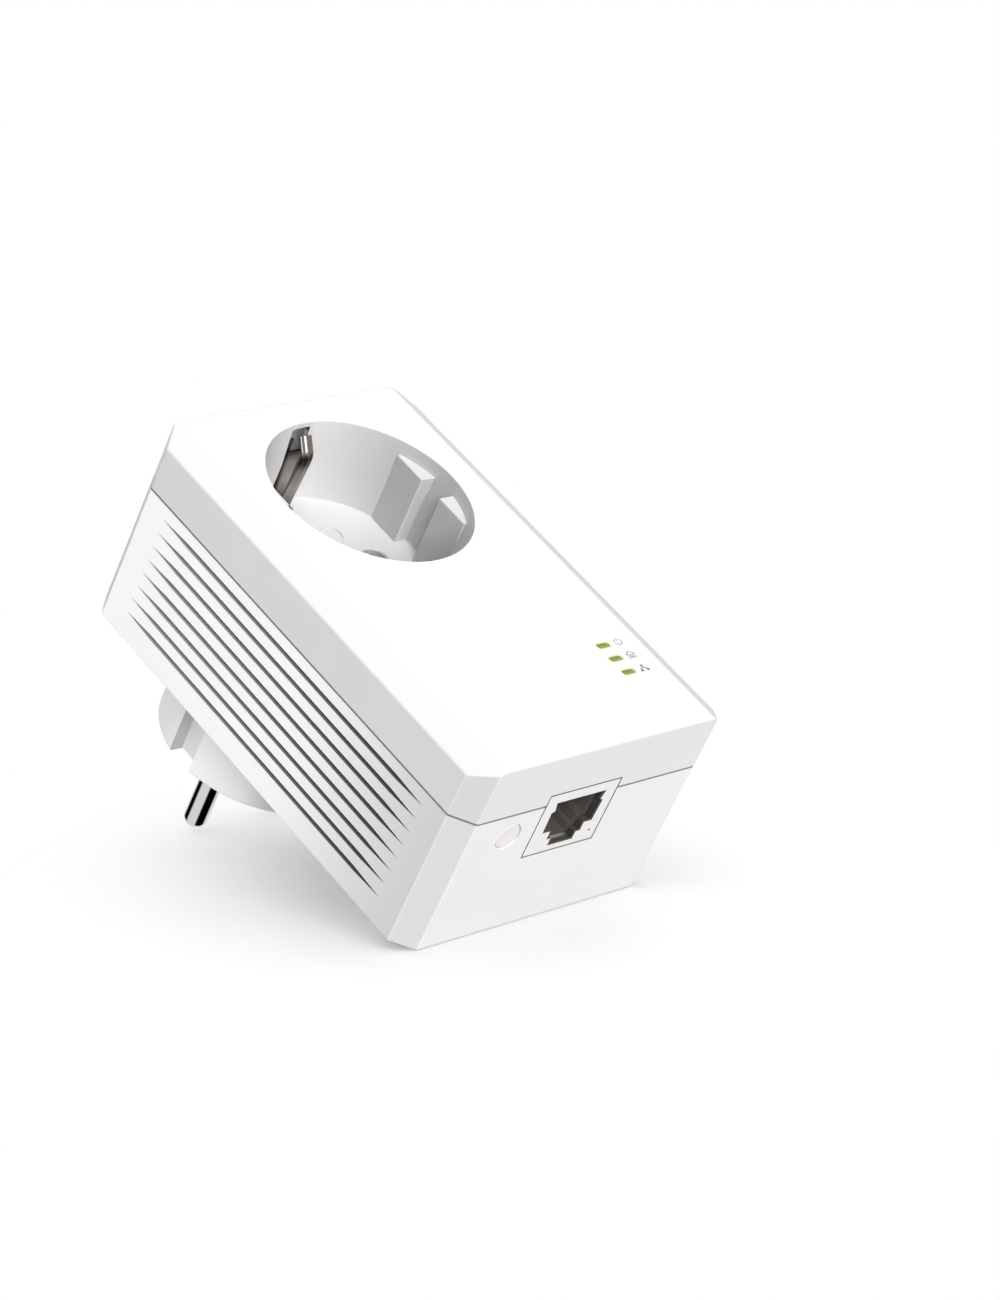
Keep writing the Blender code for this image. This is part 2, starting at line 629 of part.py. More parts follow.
# ---- plug ----------------------------------------------------------------------------------
def plug_base():
    """The round plug body with its guide grooves, earth strip recesses and inner flange."""
    seat = REAR - WALL - GAP
    base = add("plug_base", turned([(PLUG_FLANGE_RADIUS, seat - PLUG_FLANGE), (PLUG_FLANGE_RADIUS, seat),
                                    (PLUG_RADIUS, seat), (PLUG_RADIUS, -PLUG_EDGE),
                                    (PLUG_RADIUS - PLUG_EDGE, 0)], "Y", (0, 0), 64), PLUG_WHITE)
    grooves = [block(sorted((side * (PLUG_RADIUS - GROOVE_DEPTH), side * (PLUG_RADIUS + OVER))),
                     (REAR + 1.2, OVER), (-GROOVE_WIDTH / 2, GROOVE_WIDTH / 2)) for side in (-1, 1)]
    recesses = [block((-STRIP_SLOT / 2, STRIP_SLOT / 2), (REAR + 0.9, OVER),
                      sorted((side * STRIP_FLOOR, side * (PLUG_RADIUS + OVER)))) for side in (-1, 1)]
    bores = [rod("Y", (side * PIN_X, 0), PIN_RADIUS + GAP, seat - PLUG_FLANGE - OVER, OVER, 24)
             for side in (-1, 1)]
    cut(base, several(*grooves, *recesses, *bores), "openings")


def plug_pins():
    """Round pins with domed ends."""
    steps = 5
    dome_height = 0.9 * PIN_RADIUS
    angles = [math.pi / 2 * k / steps for k in range(steps)]
    dome = [(PIN_RADIUS * math.cos(a), PIN_LENGTH - dome_height * (1 - math.sin(a))) for a in angles]
    profile = [(PIN_RADIUS, PIN_INNER_END)] + dome + [(0, PIN_LENGTH)]
    for name, side in (("plug_pin_left", -1), ("plug_pin_right", 1)):
        x = side * PIN_X
        add(name, turned(profile, "Y", (x, 0), 24), NICKEL, at=(x, 0, 0))


def plug_earth_strips():
    """The sprung earth strips on the top and the bottom of the plug."""
    path = [(REAR + 1.5, 16.2), (REAR + 3.9, 16.3), (-8.6, 17.6), (-6.8, 17.6), (-1.6, 16.0)]
    for name, turn in (("plug_earth_top", 1), ("plug_earth_bottom", -1)):
        outline = bent_strip(path, STRIP_SHEET)
        if turn < 0:
            outline = flipped(outline)
        y, z = STRIP_PIVOT
        add(name, prism(outline, "X", -STRIP_WIDTH / 2, STRIP_WIDTH / 2), NICKEL, at=(0, y, turn * z))


# ---- boards and what is on them ------------------------------------------------------------
def boards():
    add("main_board", prism(board_outline(BOARD_TOP), "Y", MAIN_BOARD_BACK - BOARD, MAIN_BOARD_BACK),
        LAMINATE)
    add("power_board", prism(board_outline(BOARD_TOP), "Y", POWER_BOARD_FRONT,
                             POWER_BOARD_FRONT + BOARD), LAMINATE)
    sheet = add("insulating_sheet", prism(board_outline(BOARD_TOP), "Y", SHEET_Y, SHEET_Y + SHEET), FIBRE)
    x, z = LINK_X, LINK_Z
    cut(sheet, block((x[0] - GAP, x[1] + GAP), (SHEET_Y - 1, SHEET_Y + 1), (z[0] - GAP, z[1] + GAP)),
        "link_slot")


def main_board_parts():
    """Chips, cooler and magnetics on the side of the main board that faces the wall."""
    seat = MAIN_BOARD_BACK + GAP
    for name, (x, z, height) in (("line_chip", LINE_CHIP), ("memory_chip", MEMORY_CHIP),
                                 ("line_magnetics", LINE_MAGNETICS)):
        add(name, block(x, (seat, seat + height), z), EPOXY)
    x, z, height = LINE_CHIP
    base = seat + height + GAP
    cooler = add("chip_cooler", block(x, (base, base + COOLER_HEIGHT), z), ALUMINIUM)
    pitch = (x[1] - x[0] + COOLER_GAP) / (COOLER_GAPS + 1)
    starts = [x[0] - COOLER_GAP + (k + 1) * pitch for k in range(COOLER_GAPS)]
    gaps = [block((start, start + COOLER_GAP), (base + COOLER_BASE, base + COOLER_HEIGHT + OVER),
                  (z[0] - OVER, z[1] + OVER)) for start in starts]
    cut(cooler, several(*gaps), "fins")
    add("board_link", block(LINK_X, (seat, POWER_BOARD_FRONT - GAP), LINK_Z), DARK_PLASTIC)


def power_board_parts():
    """The supply's parts, on the side of the power board that faces the front."""
    seat = POWER_BOARD_FRONT - GAP
    face = SHEET_Y + SHEET + GAP
    middle = (seat + face) / 2
    add("supply_transformer", block(TRANSFORMER[0], (face, seat), TRANSFORMER[1]), FERRITE)
    add("filter_capacitor", block(FILTER_CAPACITOR[0], (face + SHEET, seat), FILTER_CAPACITOR[1]),
        FILM_YELLOW)
    for side, x in zip(("left", "right"), STORAGE_X):
        add(f"storage_capacitor_{side}", rod("Z", (x, middle), STORAGE_RADIUS, *STORAGE_Z), CAN_BLUE)
    add("mains_choke", tube("Y", CHOKE_CENTRE, *CHOKE_RADII, face + OVER, seat), FERRITE)
    add("fuse", rod("Z", (FUSE_X, middle), FUSE_RADIUS, *FUSE_Z), GLASS)
    add("varistor", rod("X", (middle, VARISTOR_Z), VARISTOR_RADIUS, *VARISTOR_X), VARISTOR_BLUE)


# ---- Ethernet jack -------------------------------------------------------------------------
def jack():
    half = FRAME_WIDTH / 2
    frame = add("jack_frame", block((JACK_X - half, JACK_X + half), (FRAME_FRONT, FRAME_BACK),
                                    (BOTTOM, BOTTOM + FRAME_SHEET)), SATIN_WHITE)
    cut(frame, prism(port_outline(FRAME_PLAY), "Z", BOTTOM - OVER, BOTTOM + FRAME_SHEET + OVER), "port")
    low = BOTTOM + FRAME_SHEET + GAP
    half = JACK_WIDTH / 2
    shell = add("jack_shell", block((JACK_X - half, JACK_X + half), (JACK_FRONT, JACK_FRONT + JACK_HEIGHT),
                                    (low, low + JACK_LENGTH)), JACK_GREY)
    cut(shell, prism(port_outline(), "Z", low - OVER, low + JACK_LENGTH - JACK_BACK_WALL), "port")
    root = (PORT_FRONT + GAP, low + 4 * GAP)
    tip = (root[0] + CONTACT_RISE, root[1] + CONTACT_REACH)
    outline = bent_strip([root, tip], -CONTACT_WIRE)
    for k in range(CONTACTS):
        x = JACK_X + (k - (CONTACTS - 1) / 2) * CONTACT_PITCH
        add(f"jack_contact_{k + 1}", prism(outline, "X", x - CONTACT_WIRE / 2, x + CONTACT_WIRE / 2), GOLD,
            at=(x, *root))


# ---- pair button ---------------------------------------------------------------------------
def pair_button():
    """The button, its inner flange and the arm that reaches the switch on the main board."""
    face = BOTTOM + GAP / 3
    flange = BOTTOM + WALL + GAP
    stem = flange + 1.2
    arm = (stem + 0.5, stem + 1.9)
    profile = [(BUTTON_RADIUS - BUTTON_EDGE, face), (BUTTON_RADIUS, face + BUTTON_EDGE),
               (BUTTON_RADIUS, flange), (BUTTON_FLANGE, flange), (BUTTON_FLANGE, stem),
               (BUTTON_STEM, stem), (BUTTON_STEM, stem + 2.0)]
    button = add("pair_button", turned(profile, "Z", (BUTTON_X, BUTTON_Y), 32), SATIN_WHITE,
                 at=(BUTTON_X, BUTTON_Y, BOTTOM))
    join(button, block((BUTTON_X - ARM_HALF, BUTTON_X + ARM_HALF), (SWITCH_Y - ARM_TIP_HALF, BUTTON_Y), arm),
         "arm")
    arm_tip = SWITCH_FACE - PLUNGER_TRAVEL - BUTTON_TRAVEL
    join(button, block((BUTTON_X - ARM_TIP_HALF, BUTTON_X + ARM_TIP_HALF),
                       (SWITCH_Y - ARM_TIP_HALF - 0.1, SWITCH_Y + ARM_TIP_HALF), (arm[0] + 0.2, arm_tip)),
         "arm_tip")


def pair_switch():
    """The side-acting switch that the pair button presses."""
    low = SWITCH_FACE
    centre = (BUTTON_X, SWITCH_Y)
    body = add("switch_body", block((BUTTON_X - SWITCH_HALF, BUTTON_X + SWITCH_HALF),
                                    (MAIN_BOARD_BACK + GAP, SWITCH_Y + SWITCH_HALF),
                                    (low, low + SWITCH_DEPTH)), DARK_PLASTIC)
    cut(body, rod("Z", centre, PLUNGER_RADIUS + GAP, low - OVER, low + SWITCH_WELL, 20), "well")
    add("switch_plunger", rod("Z", centre, PLUNGER_RADIUS, low - PLUNGER_REACH,
                              low + SWITCH_WELL - 2 * PLUNGER_TRAVEL, 20), STEEL, at=(*centre, low))


# ---- indicator lights ----------------------------------------------------------------------
def light_heights():
    return [LIGHT_TOP_Z - k * LIGHT_PITCH for k in range(LIGHTS)]


def indicator_lights():
    """Three green lamps on the main board, and the clear guide that carries them to the front."""
    heights = light_heights()
    board_face = MAIN_BOARD_BACK - BOARD
    half_x, half_z = LIGHT_WIDTH / 2 - LIGHT_PLAY, LIGHT_HEIGHT / 2 - LIGHT_PLAY
    margin_x, margin_z = LIGHT_BRIDGE_MARGIN
    back_of_cover = FRONT + WALL + GAP
    guide = add("light_guide", block((LIGHT_X - margin_x, LIGHT_X + margin_x),
                                     (back_of_cover, back_of_cover + LIGHT_BRIDGE),
                                     (heights[-1] - margin_z, heights[0] + margin_z)), LIGHT_GREEN)
    lamp_x, lamp_z, lamp_height = LAMP
    prong_end = board_face - lamp_height - 2 * GAP
    for k, z in enumerate(heights):
        join(guide, block((LIGHT_X - half_x, LIGHT_X + half_x), (FRONT + LIGHT_PLAY / 3, prong_end),
                          (z - half_z, z + half_z)), f"prong_{k + 1}")
        add(f"lamp_{k + 1}", block((LIGHT_X - lamp_x, LIGHT_X + lamp_x),
                                   (board_face - GAP - lamp_height, board_face - GAP),
                                   (z - lamp_z, z + lamp_z)), LED_LENS)


# ---- fasteners and label -------------------------------------------------------------------
def housing_screws():
    for k, (x, z) in enumerate(boss_centres()):
        seat = HEAD_SEAT + GAP
        tip = seat - SCREW_LENGTH
        profile = [(0, tip), (SHANK_RADIUS, tip + 1.6), (SHANK_RADIUS, seat), (HEAD_RADIUS, seat),
                   (HEAD_RADIUS, seat + HEAD_EDGE), (HEAD_RADIUS - 0.8, seat + HEAD_THICKNESS)]
        add(f"housing_screw_{k + 1}", turned(profile, "Y", (x, z), 20), STEEL, at=(x, seat, z))


def rear_label():
    back = REAR - LABEL_BED / 6
    add("rear_label", block((-LABEL_HALF, LABEL_HALF), (back - LABEL_SHEET, back), LABEL_Z), LABEL)


front_cover()
rear_housing()
socket_cup()
earth_clips()
contact_carrier()
contact_sleeves()
busbars()
earth_strap()
plug_base()
plug_pins()
plug_earth_strips()
boards()
main_board_parts()
power_board_parts()
jack()
pair_button()
pair_switch()
indicator_lights()
housing_screws()
rear_label()
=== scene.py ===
"""Looks of the passthrough powerline adapter: fine shells, bright metal, lit windows, soft studio.

The frame is part.py's: +X to the right seen from the front, +Y towards the wall, +Z up, with the
origin in the middle of the plug's end face.  Sizes below are in millimetres, and every mesh is
scaled to metres when it is made.
"""
import json
import math

import bmesh
import bpy
from mathutils import Matrix, Vector


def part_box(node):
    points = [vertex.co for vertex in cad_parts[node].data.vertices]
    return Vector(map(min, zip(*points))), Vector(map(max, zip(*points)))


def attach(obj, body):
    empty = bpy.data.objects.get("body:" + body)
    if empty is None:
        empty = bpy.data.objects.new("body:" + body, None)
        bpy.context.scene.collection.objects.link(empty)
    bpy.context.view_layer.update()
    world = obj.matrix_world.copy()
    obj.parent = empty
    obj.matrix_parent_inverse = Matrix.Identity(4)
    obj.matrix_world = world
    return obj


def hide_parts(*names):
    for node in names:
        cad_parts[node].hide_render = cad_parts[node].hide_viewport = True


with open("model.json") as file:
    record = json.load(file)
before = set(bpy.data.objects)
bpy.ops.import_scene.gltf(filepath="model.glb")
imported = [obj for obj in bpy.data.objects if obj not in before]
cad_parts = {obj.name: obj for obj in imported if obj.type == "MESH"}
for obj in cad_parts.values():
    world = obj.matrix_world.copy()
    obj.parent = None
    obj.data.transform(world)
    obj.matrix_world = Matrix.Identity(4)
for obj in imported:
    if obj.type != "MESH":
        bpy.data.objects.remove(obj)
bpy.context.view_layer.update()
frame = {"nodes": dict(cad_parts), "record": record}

MM = 0.001
OVER = 1.0  # how far a cutter passes the surface that it cuts

RECORD = frame["record"]
BODY_OF = {node: body for body, nodes in RECORD["behaviour"]["bodies"].items() for node in nodes}
SLOT_OF = {part["node"]: part["material_slot"] for part in RECORD["subparts"]}


def limits(node):
    """A CAD node's limits in millimetres: a (low, high) pair for each of x, y and z."""
    low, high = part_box(node)
    return [(a / MM, b / MM) for a, b in zip(low, high)]


# ---- sizes ---------------------------------------------------------------------------------
(_, HALF_WIDTH), (FRONT, _), (BOTTOM, TOP) = limits("front_cover")
LIP_REACH = 1.6
REAR = limits("rear_housing")[1][1]
SEAM_REAR = limits("rear_housing")[1][0] + LIP_REACH  # front edge of the rear shell's wall
SEAM_FRONT = SEAM_REAR - 0.4  # back edge of the cover's wall
MIDDLE = (TOP + BOTTOM) / 2
WALL = 2.2
GAP = 0.3
CORNER_X = 3.9
CORNER_Z = 4.0
BEVEL_X = 4.9
BEVEL_Y = 2.7
LIP_OUT = 2.5
LIP_IN = 3.6
EDGE = 0.35  # rounding of the outer edges
FINE_EDGE = 0.12  # rounding of round openings
SEAM_EDGE = 0.05  # rounding beside the seam

VENTS = 8
VENT_FIRST = FRONT + 15.1
VENT_PITCH = 3.19
VENT_WIDTH = 0.85
VENT_LENGTH = 81.0
VENT_TAPER = 8.0
VENT_FLARE = 0.05

BORE_RADIUS = 19.8
MOUTH_RADIUS = 20.7  # the recess narrows from here to its bore
CUP_RADIUS = 21.5
CUP_BACK = limits("socket_cup")[1][1]
FLOOR = CUP_BACK - 1.4  # the recess floor, 0.6 deeper than in CAD
ROUND = 128  # sides of the large round surfaces
PIN_X = 9.5
HOLE_RADIUS = 2.5
HOLE_CHAMFER = 0.3
GUIDE_X = 16.7
GUIDE_HEIGHT = 21.2
GUIDE_GROOVE = 5.6
GUIDE_FRONT = FRONT + 2.8
CLIP_SLOT = (-3.3, 1.3)  # limits in x of the upper clip's slot; the lower clip is turned round
CLIP_SLOT_FLOOR = 16.4
CLIP_POCKET = FRONT + 1.1
POCKET_TOP = 22.4  # the clips' slots reach this far inside the cover
CLIP_NOTCH = -2.3
CLIP_LIMIT = 0.01  # widens the test for the walls of a slot

PLUG_RADIUS = limits("plug_base")[0][1]
PIN_RADIUS = 2.4
PIN_BORE = 2.45
STRIP_SEAT = 15.2  # floor of the plug's recesses for the earth strips
GROOVE_DEPTH = 3.6
GROOVE_HALF = 3.2
BOSSES = [(x, z) for z in (TOP - 5.8, BOTTOM + 5.8) for x in (-26.2, 26.2)]
BOSS_RADIUS = 3.9
COVER_BOSS_RADIUS = 2.9
PILOT_RADIUS = 1.6
PILOT_DEPTH = 13
BOSS_JOINT = REAR - 11.0
HEAD_RADIUS = 2.6
HEAD_SEAT = REAR - 5.0
HEAD_EDGE = 0.9
CROSS_DEPTH = 1.3

JACK_X = sum(limits("jack_frame")[0]) / 2
PORT_FRONT = FRONT + 12.2
PORT_SHOULDER = FRONT + 19.4
PORT_STEP = FRONT + 21.4
PORT_BACK = FRONT + 23.2
PORT_HALF = 6.2
LATCH_HALF = 4.2
KEY_HALF = 3.1
FRAME_MARGIN = 0.4  # reach of the shaded strip round the jack's frame
CONTACT_PITCH = 1.02

BUTTON_RADIUS = 2.72
BUTTON_GAP = 0.12
BUTTON_X = sum(limits("pair_button")[0]) / 2
BUTTON_Y = FRONT + 17.7

LIGHT_X = sum(limits("light_guide")[0]) / 2
LIGHT_PITCH = 3.75
LIGHT_Z = [MIDDLE - 26.8 - k * LIGHT_PITCH for k in range(3)]
LIGHT_WIDTH = 3.1
LIGHT_HEIGHT = 1.3
LIGHT_GAP = 0.06
BRIDGE_DEPTH = 1.1
INK = (FRONT - 0.015, FRONT + 0.1)  # limits in y of what is printed on the cover
ICON_X = 21.9
ICON_LINE = 0.2


# ---- meshes --------------------------------------------------------------------------------
def along(axis):
    """How a flat point and its height along the axis become a point in space."""
    return {"X": lambda p, h: (h, p[0], p[1]),
            "Y": lambda p, h: (p[0], h, p[1]),
            "Z": lambda p, h: (p[0], p[1], h)}[axis]


def skinned(bm, rings):
    """Close a row of rings into a solid, with faces between them and at both ends."""
    for near, far in zip(rings, rings[1:]):
        for k in range(len(near)):
            n = (k + 1) % len(near)
            bm.faces.new((near[k], near[n], far[n], far[k]))
    bm.faces.new(rings[0])
    bm.faces.new(rings[-1])
    bmesh.ops.recalc_face_normals(bm, faces=bm.faces)
    return bm


def loft(outlines, axis, heights):
    """A closed solid through outlines with the same number of points."""
    place = along(axis)
    bm = bmesh.new()
    rings = [[bm.verts.new(place(p, h)) for p in outline] for outline, h in zip(outlines, heights)]
    return skinned(bm, rings)


def prism(outline, axis, low, high):
    return loft([outline, outline], axis, [low, high])


def rectangle(x, y):
    """The outline between two pairs of limits."""
    return [(x[0], y[0]), (x[1], y[0]), (x[1], y[1]), (x[0], y[1])]


def block(x, y, z):
    """A box between pairs of limits."""
    return prism(rectangle(x, y), "Z", *z)


def widened(pair, by):
    """A pair of limits moved apart."""
    return pair[0] - by, pair[1] + by


def turned(profile, axis="Y", centre=(0, 0), segments=ROUND, ring=False):
    """A solid of revolution.  The profile's points are (radius, height along the axis)."""
    place = along(axis)
    bm = bmesh.new()
    rings = []
    for radius, height in profile:
        if radius == 0:
            rings.append([bm.verts.new(place(centre, height))])
            continue
        angles = [2 * math.pi * k / segments for k in range(segments)]
        circle = [(centre[0] + radius * math.cos(a), centre[1] + radius * math.sin(a)) for a in angles]
        rings.append([bm.verts.new(place(point, height)) for point in circle])
    pairs = list(zip(rings, rings[1:]))
    if ring:
        pairs.append((rings[-1], rings[0]))
    for near, far in pairs:
        for k in range(segments):
            n = (k + 1) % segments
            if len(near) == 1:
                bm.faces.new((near[0], far[n], far[k]))
            elif len(far) == 1:
                bm.faces.new((near[k], near[n], far[0]))
            else:
                bm.faces.new((near[k], near[n], far[n], far[k]))
    if not ring:
        for end in (rings[0], rings[-1]):
            if len(end) > 1:
                bm.faces.new(end)
    bmesh.ops.recalc_face_normals(bm, faces=bm.faces)
    return bm


def rod(axis, centre, radius, low, high, segments=32):
    return turned([(radius, low), (radius, high)], axis, centre, segments)


def arc(centre, radii, start, end, steps=6):
    """Points on an elliptic arc, with angles in degrees."""
    angles = [math.radians(start + (end - start) * k / steps) for k in range(steps + 1)]
    return [(centre[0] + radii[0] * math.cos(a), centre[1] + radii[1] * math.sin(a)) for a in angles]


def rounded_box(x, z, radius):
    """A rectangle's outline with round corners."""
    outline = []
    corners = [(x[1] - radius, z[1] - radius, 0), (x[0] + radius, z[1] - radius, 90),
               (x[0] + radius, z[0] + radius, 180), (x[1] - radius, z[0] + radius, 270)]
    for cx, cz, start in corners:
        outline += arc((cx, cz), (radius, radius), start, start + 90, 4)
    return outline


def several(*parts):
    """One mesh of separate solids."""
    whole = bmesh.new()
    for part in parts:
        scratch = bpy.data.meshes.new("scratch")
        part.to_mesh(scratch)
        part.free()
        whole.from_mesh(scratch)
        bpy.data.meshes.remove(scratch)
    return whole


def placed(name, data, turn=None):
    """A new object in the scene, with its Z axis turned to a direction."""
    made = bpy.data.objects.new(name, data)
    bpy.context.scene.collection.objects.link(made)
    if turn:
        made.rotation_mode = "QUATERNION"
        made.rotation_quaternion = turn.to_track_quat("Z", "Y")
    return made


def solid(name, bm):
    """Make the object, in metres."""
    bmesh.ops.transform(bm, matrix=Matrix.Scale(MM, 4), verts=bm.verts)
    mesh = bpy.data.meshes.new(name)
    bm.to_mesh(mesh)
    bm.free()
    return placed(name, mesh)


def combine(made, operation, tool):
    """Cut, join or intersect with a helper solid, at once, and drop the helper."""
    helper = tool if isinstance(tool, bpy.types.Object) else solid("helper", tool)
    modifier = made.modifiers.new("combine", "BOOLEAN")
    modifier.operation = operation
    modifier.solver = "EXACT"
    modifier.object = helper
    bpy.context.view_layer.update()
    seen = made.evaluated_get(bpy.context.evaluated_depsgraph_get())
    settled = bpy.data.meshes.new_from_object(seen)
    made.modifiers.clear()
    made.data = settled
    bpy.data.objects.remove(helper, do_unlink=True)


def cut(made, *tools):
    """Take helper solids away, all at once."""
    combine(made, "DIFFERENCE", tools[0] if len(tools) == 1 else several(*tools))


def join(made, *tools):
    """Add helper solids, all at once."""
    combine(made, "UNION", tools[0] if len(tools) == 1 else several(*tools))


def soften(made, width, segments=3, angle=25, where=None):
    """Round the edges that turn by more than the angle and whose middle `where`, if given, accepts."""
    bm = bmesh.new()
    bm.from_mesh(made.data)
    bmesh.ops.dissolve_limit(bm, angle_limit=math.radians(0.5), verts=bm.verts, edges=bm.edges)
    edges = []
    for edge in bm.edges:
        middle = (edge.verts[0].co + edge.verts[1].co) / (2 * MM)
        turns = edge.is_manifold and edge.calc_face_angle() > math.radians(angle)
        if turns and (where is None or where(middle)):
            edges.append(edge)
    bmesh.ops.bevel(bm, geom=edges, offset=width * MM, offset_type="OFFSET", segments=segments,
                    profile=0.5, affect="EDGES", clamp_overlap=True)
    bm.to_mesh(made.data)
    bm.free()


def coat(made, finish):
    """Make this the only material."""
    made.data.materials.clear()
    made.data.materials.append(finish)


def piece(made, finish, *nodes, body=None, slot=None):
    """Shade the mesh, give it its material, and let it stand for its CAD nodes."""
    coat(made, finish)
    made.data.shade_smooth()
    made.data.set_sharp_from_angle(angle=math.radians(32))
    weighted = made.modifiers.new("normals", "WEIGHTED_NORMAL")
    weighted.keep_sharp = True
    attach(made, body or BODY_OF[nodes[0]])
    if nodes:
        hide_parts(*nodes)


def line_with(made, finish, where):
    """Give a second material to the faces whose middle, in millimetres, `where` accepts."""
    made.data.materials.append(finish)
    last = len(made.data.materials) - 1
    for face in made.data.polygons:
        if where(face.center / MM):
            face.material_index = last


def rounded_path(points, radius, steps=5):
    """A path with its corners replaced by arcs of about this radius."""
    path = [Vector(points[0])]
    for before, corner, after in zip(points, points[1:], points[2:]):
        before, corner, after = Vector(before), Vector(corner), Vector(after)
        back, ahead = before - corner, after - corner
        reach = min(radius, back.length * 0.45, ahead.length * 0.45)
        start, end = corner + back.normalized() * reach, corner + ahead.normalized() * reach
        for k in range(steps + 1):
            t = k / steps
            path.append(start * (1 - t) ** 2 + corner * 2 * t * (1 - t) + end * t ** 2)
    path.append(Vector(points[-1]))
    return path


def swept(path, section, turn=1):
    """A strip along a path of (y, z) points.  The section's points are (x, depth below the path)."""
    bm = bmesh.new()
    rings = []
    for k, point in enumerate(path):
        ahead = (path[min(k + 1, len(path) - 1)] - path[max(k - 1, 0)]).normalized()
        side = Vector((-ahead.y, ahead.x))
        ring = []
        for x, depth in section:
            y, z = point + side * depth
            ring.append(bm.verts.new((x, y, z * turn)))
        rings.append(ring)
    return skinned(bm, rings)


def strip_section(width, sheet, rib=0.0, rib_width=1.0, x=0.0):
    """A strip's section, rounded at its edges, with a rib along the middle of its far side."""
    half, edge = width / 2, sheet / 2
    left = arc((x - half + edge, edge), (edge, edge), 270, 90, 6)
    right = arc((x + half - edge, edge), (edge, edge), 90, -90, 6)
    across = [k / 4 - 1 for k in range(9)] if rib else []
    middle = [(x + t * rib_width / 2, sheet + rib * math.cos(t * math.pi / 2)) for t in across]
    return left + middle + right


# ---- materials -----------------------------------------------------------------------------
def opened(made):
    """A material with its node tree and its shader."""
    return made, made.node_tree, made.node_tree.nodes["Principled BSDF"]


def material(name):
    made = bpy.data.materials.new(name)
    made.use_nodes = True
    return opened(made)


def feed(node, values):
    """Give a node's inputs their values: constants, or the outputs of other nodes."""
    for key, value in values.items():
        if isinstance(value, bpy.types.NodeSocket):
            node.id_data.links.new(value, node.inputs[key])
        else:
            node.inputs[key].default_value = value


def add_node(tree, kind, values=None, **settings):
    made = tree.nodes.new(f"ShaderNode{kind}")
    for key, value in settings.items():
        setattr(made, key, value)
    feed(made, values or {})
    return made


def arithmetic(operation, first, *others):
    """The result of an operation on an output and numbers or more outputs."""
    values = dict(enumerate((first, *others)))
    return add_node(first.id_data, "Math", values, operation=operation).outputs[0]


def vector(operation, first, *others, output="Vector"):
    """The same for vectors."""
    values = dict(enumerate((first, *others)))
    return add_node(first.id_data, "VectorMath", values, operation=operation).outputs[output]


def position(tree, kind="Object"):
    """Where a point lies in the object's own frame, or another texture coordinate."""
    return add_node(tree, "TexCoord").outputs[kind]


def coordinate(tree, axis, kind="Object"):
    """One of a position's three numbers."""
    return add_node(tree, "SeparateXYZ", {"Vector": position(tree, kind)}).outputs[axis]


def facing(tree, axis):
    """How much a surface faces along one axis of the object, either way: from 0 to 1."""
    return arithmetic("ABSOLUTE", coordinate(tree, axis, "Normal"))


def noise(tree, size, detail=2.0, stretch=(1, 1, 1)):
    """Noise in the object's own frame, with features of about this size in millimetres."""
    scaled = add_node(tree, "Mapping", {"Vector": position(tree), "Scale": stretch})
    values = {"Vector": scaled.outputs["Vector"], "Scale": 1 / (size * MM), "Detail": detail}
    return add_node(tree, "TexNoise", values).outputs["Fac"]


def ramp(value, start, end, low, high, smooth=True):
    """Map the range from start to end onto low to high, and hold the value beyond it."""
    values = {"Value": value, "From Min": start, "From Max": end, "To Min": low, "To Max": high}
    kind = "SMOOTHSTEP" if smooth else "LINEAR"
    return add_node(value.id_data, "MapRange", values, interpolation_type=kind).outputs["Result"]


def vary(value, low, high):
    """Map a noise's middle range onto these limits."""
    return ramp(value, 0.2, 0.8, low, high)


def colours(value, *stops):
    """The value's colour between stops, which are pairs of a position and a colour."""
    made = add_node(value.id_data, "ValToRGB", {"Fac": value})
    elements = made.color_ramp.elements
    elements.remove(elements[1])
    for k, (place, colour) in enumerate(stops):
        stop = elements.new(place) if k else elements[0]
        stop.position = place
        stop.color = (*colour, 1)
    return made.outputs["Color"]


def tint(value, first, second):
    """Mix two colours by a noise's middle range."""
    return colours(value, (0.3, first), (0.7, second))


def blend(share, first, second):
    """Mix two colours by a share from 0 to 1."""
    values = {"Factor": share, 6: first, 7: second}
    return add_node(share.id_data, "Mix", values, data_type="RGBA").outputs[2]


def bump(shader, height, depth, strength=1.0):
    """Relief of a depth in millimetres."""
    values = {"Height": height, "Strength": strength, "Distance": depth * MM}
    raised = add_node(shader.id_data, "Bump", values)
    feed(shader, {"Normal": raised.outputs["Normal"]})


def shade(colour, factor):
    return tuple(min(1.0, c * factor) for c in colour)


def scale_colour(shader, factor):
    """Multiply the shader's base colour by a factor that varies over the surface."""
    base = shader.inputs["Base Color"].links[0].from_socket
    scaled = add_node(shader.id_data, "VectorMath", {0: base, "Scale": factor}, operation="SCALE")
    feed(shader, {"Base Color": scaled.outputs["Vector"]})


def plastic(name, colour, roughness, grain, depth):
    """Moulded plastic: a fine grain, a slow change of tone and slightly uneven gloss."""
    made, tree, shader = material(name)
    slow = noise(tree, 14.0)
    feed(shader, {"Base Color": tint(slow, shade(colour, 0.985), colour),
                  "Roughness": vary(slow, roughness * 0.9, roughness * 1.12)})
    bump(shader, noise(tree, grain, 3.0), depth)
    return made


def metal(name, colour, roughness, stretch=(1, 1, 1), streak=0.25):
    """Plated or rolled metal: fine streaks along one direction and a faint change of tone."""
    made, tree, shader = material(name)
    streaks = noise(tree, streak, 3.0, stretch)
    feed(shader, {"Metallic": 1.0,
                  "Base Color": tint(noise(tree, 5.0), shade(colour, 0.93), colour),
                  "Roughness": vary(streaks, roughness * 0.75, roughness * 1.3)})
    bump(shader, streaks, 0.004, 0.5)
    return made


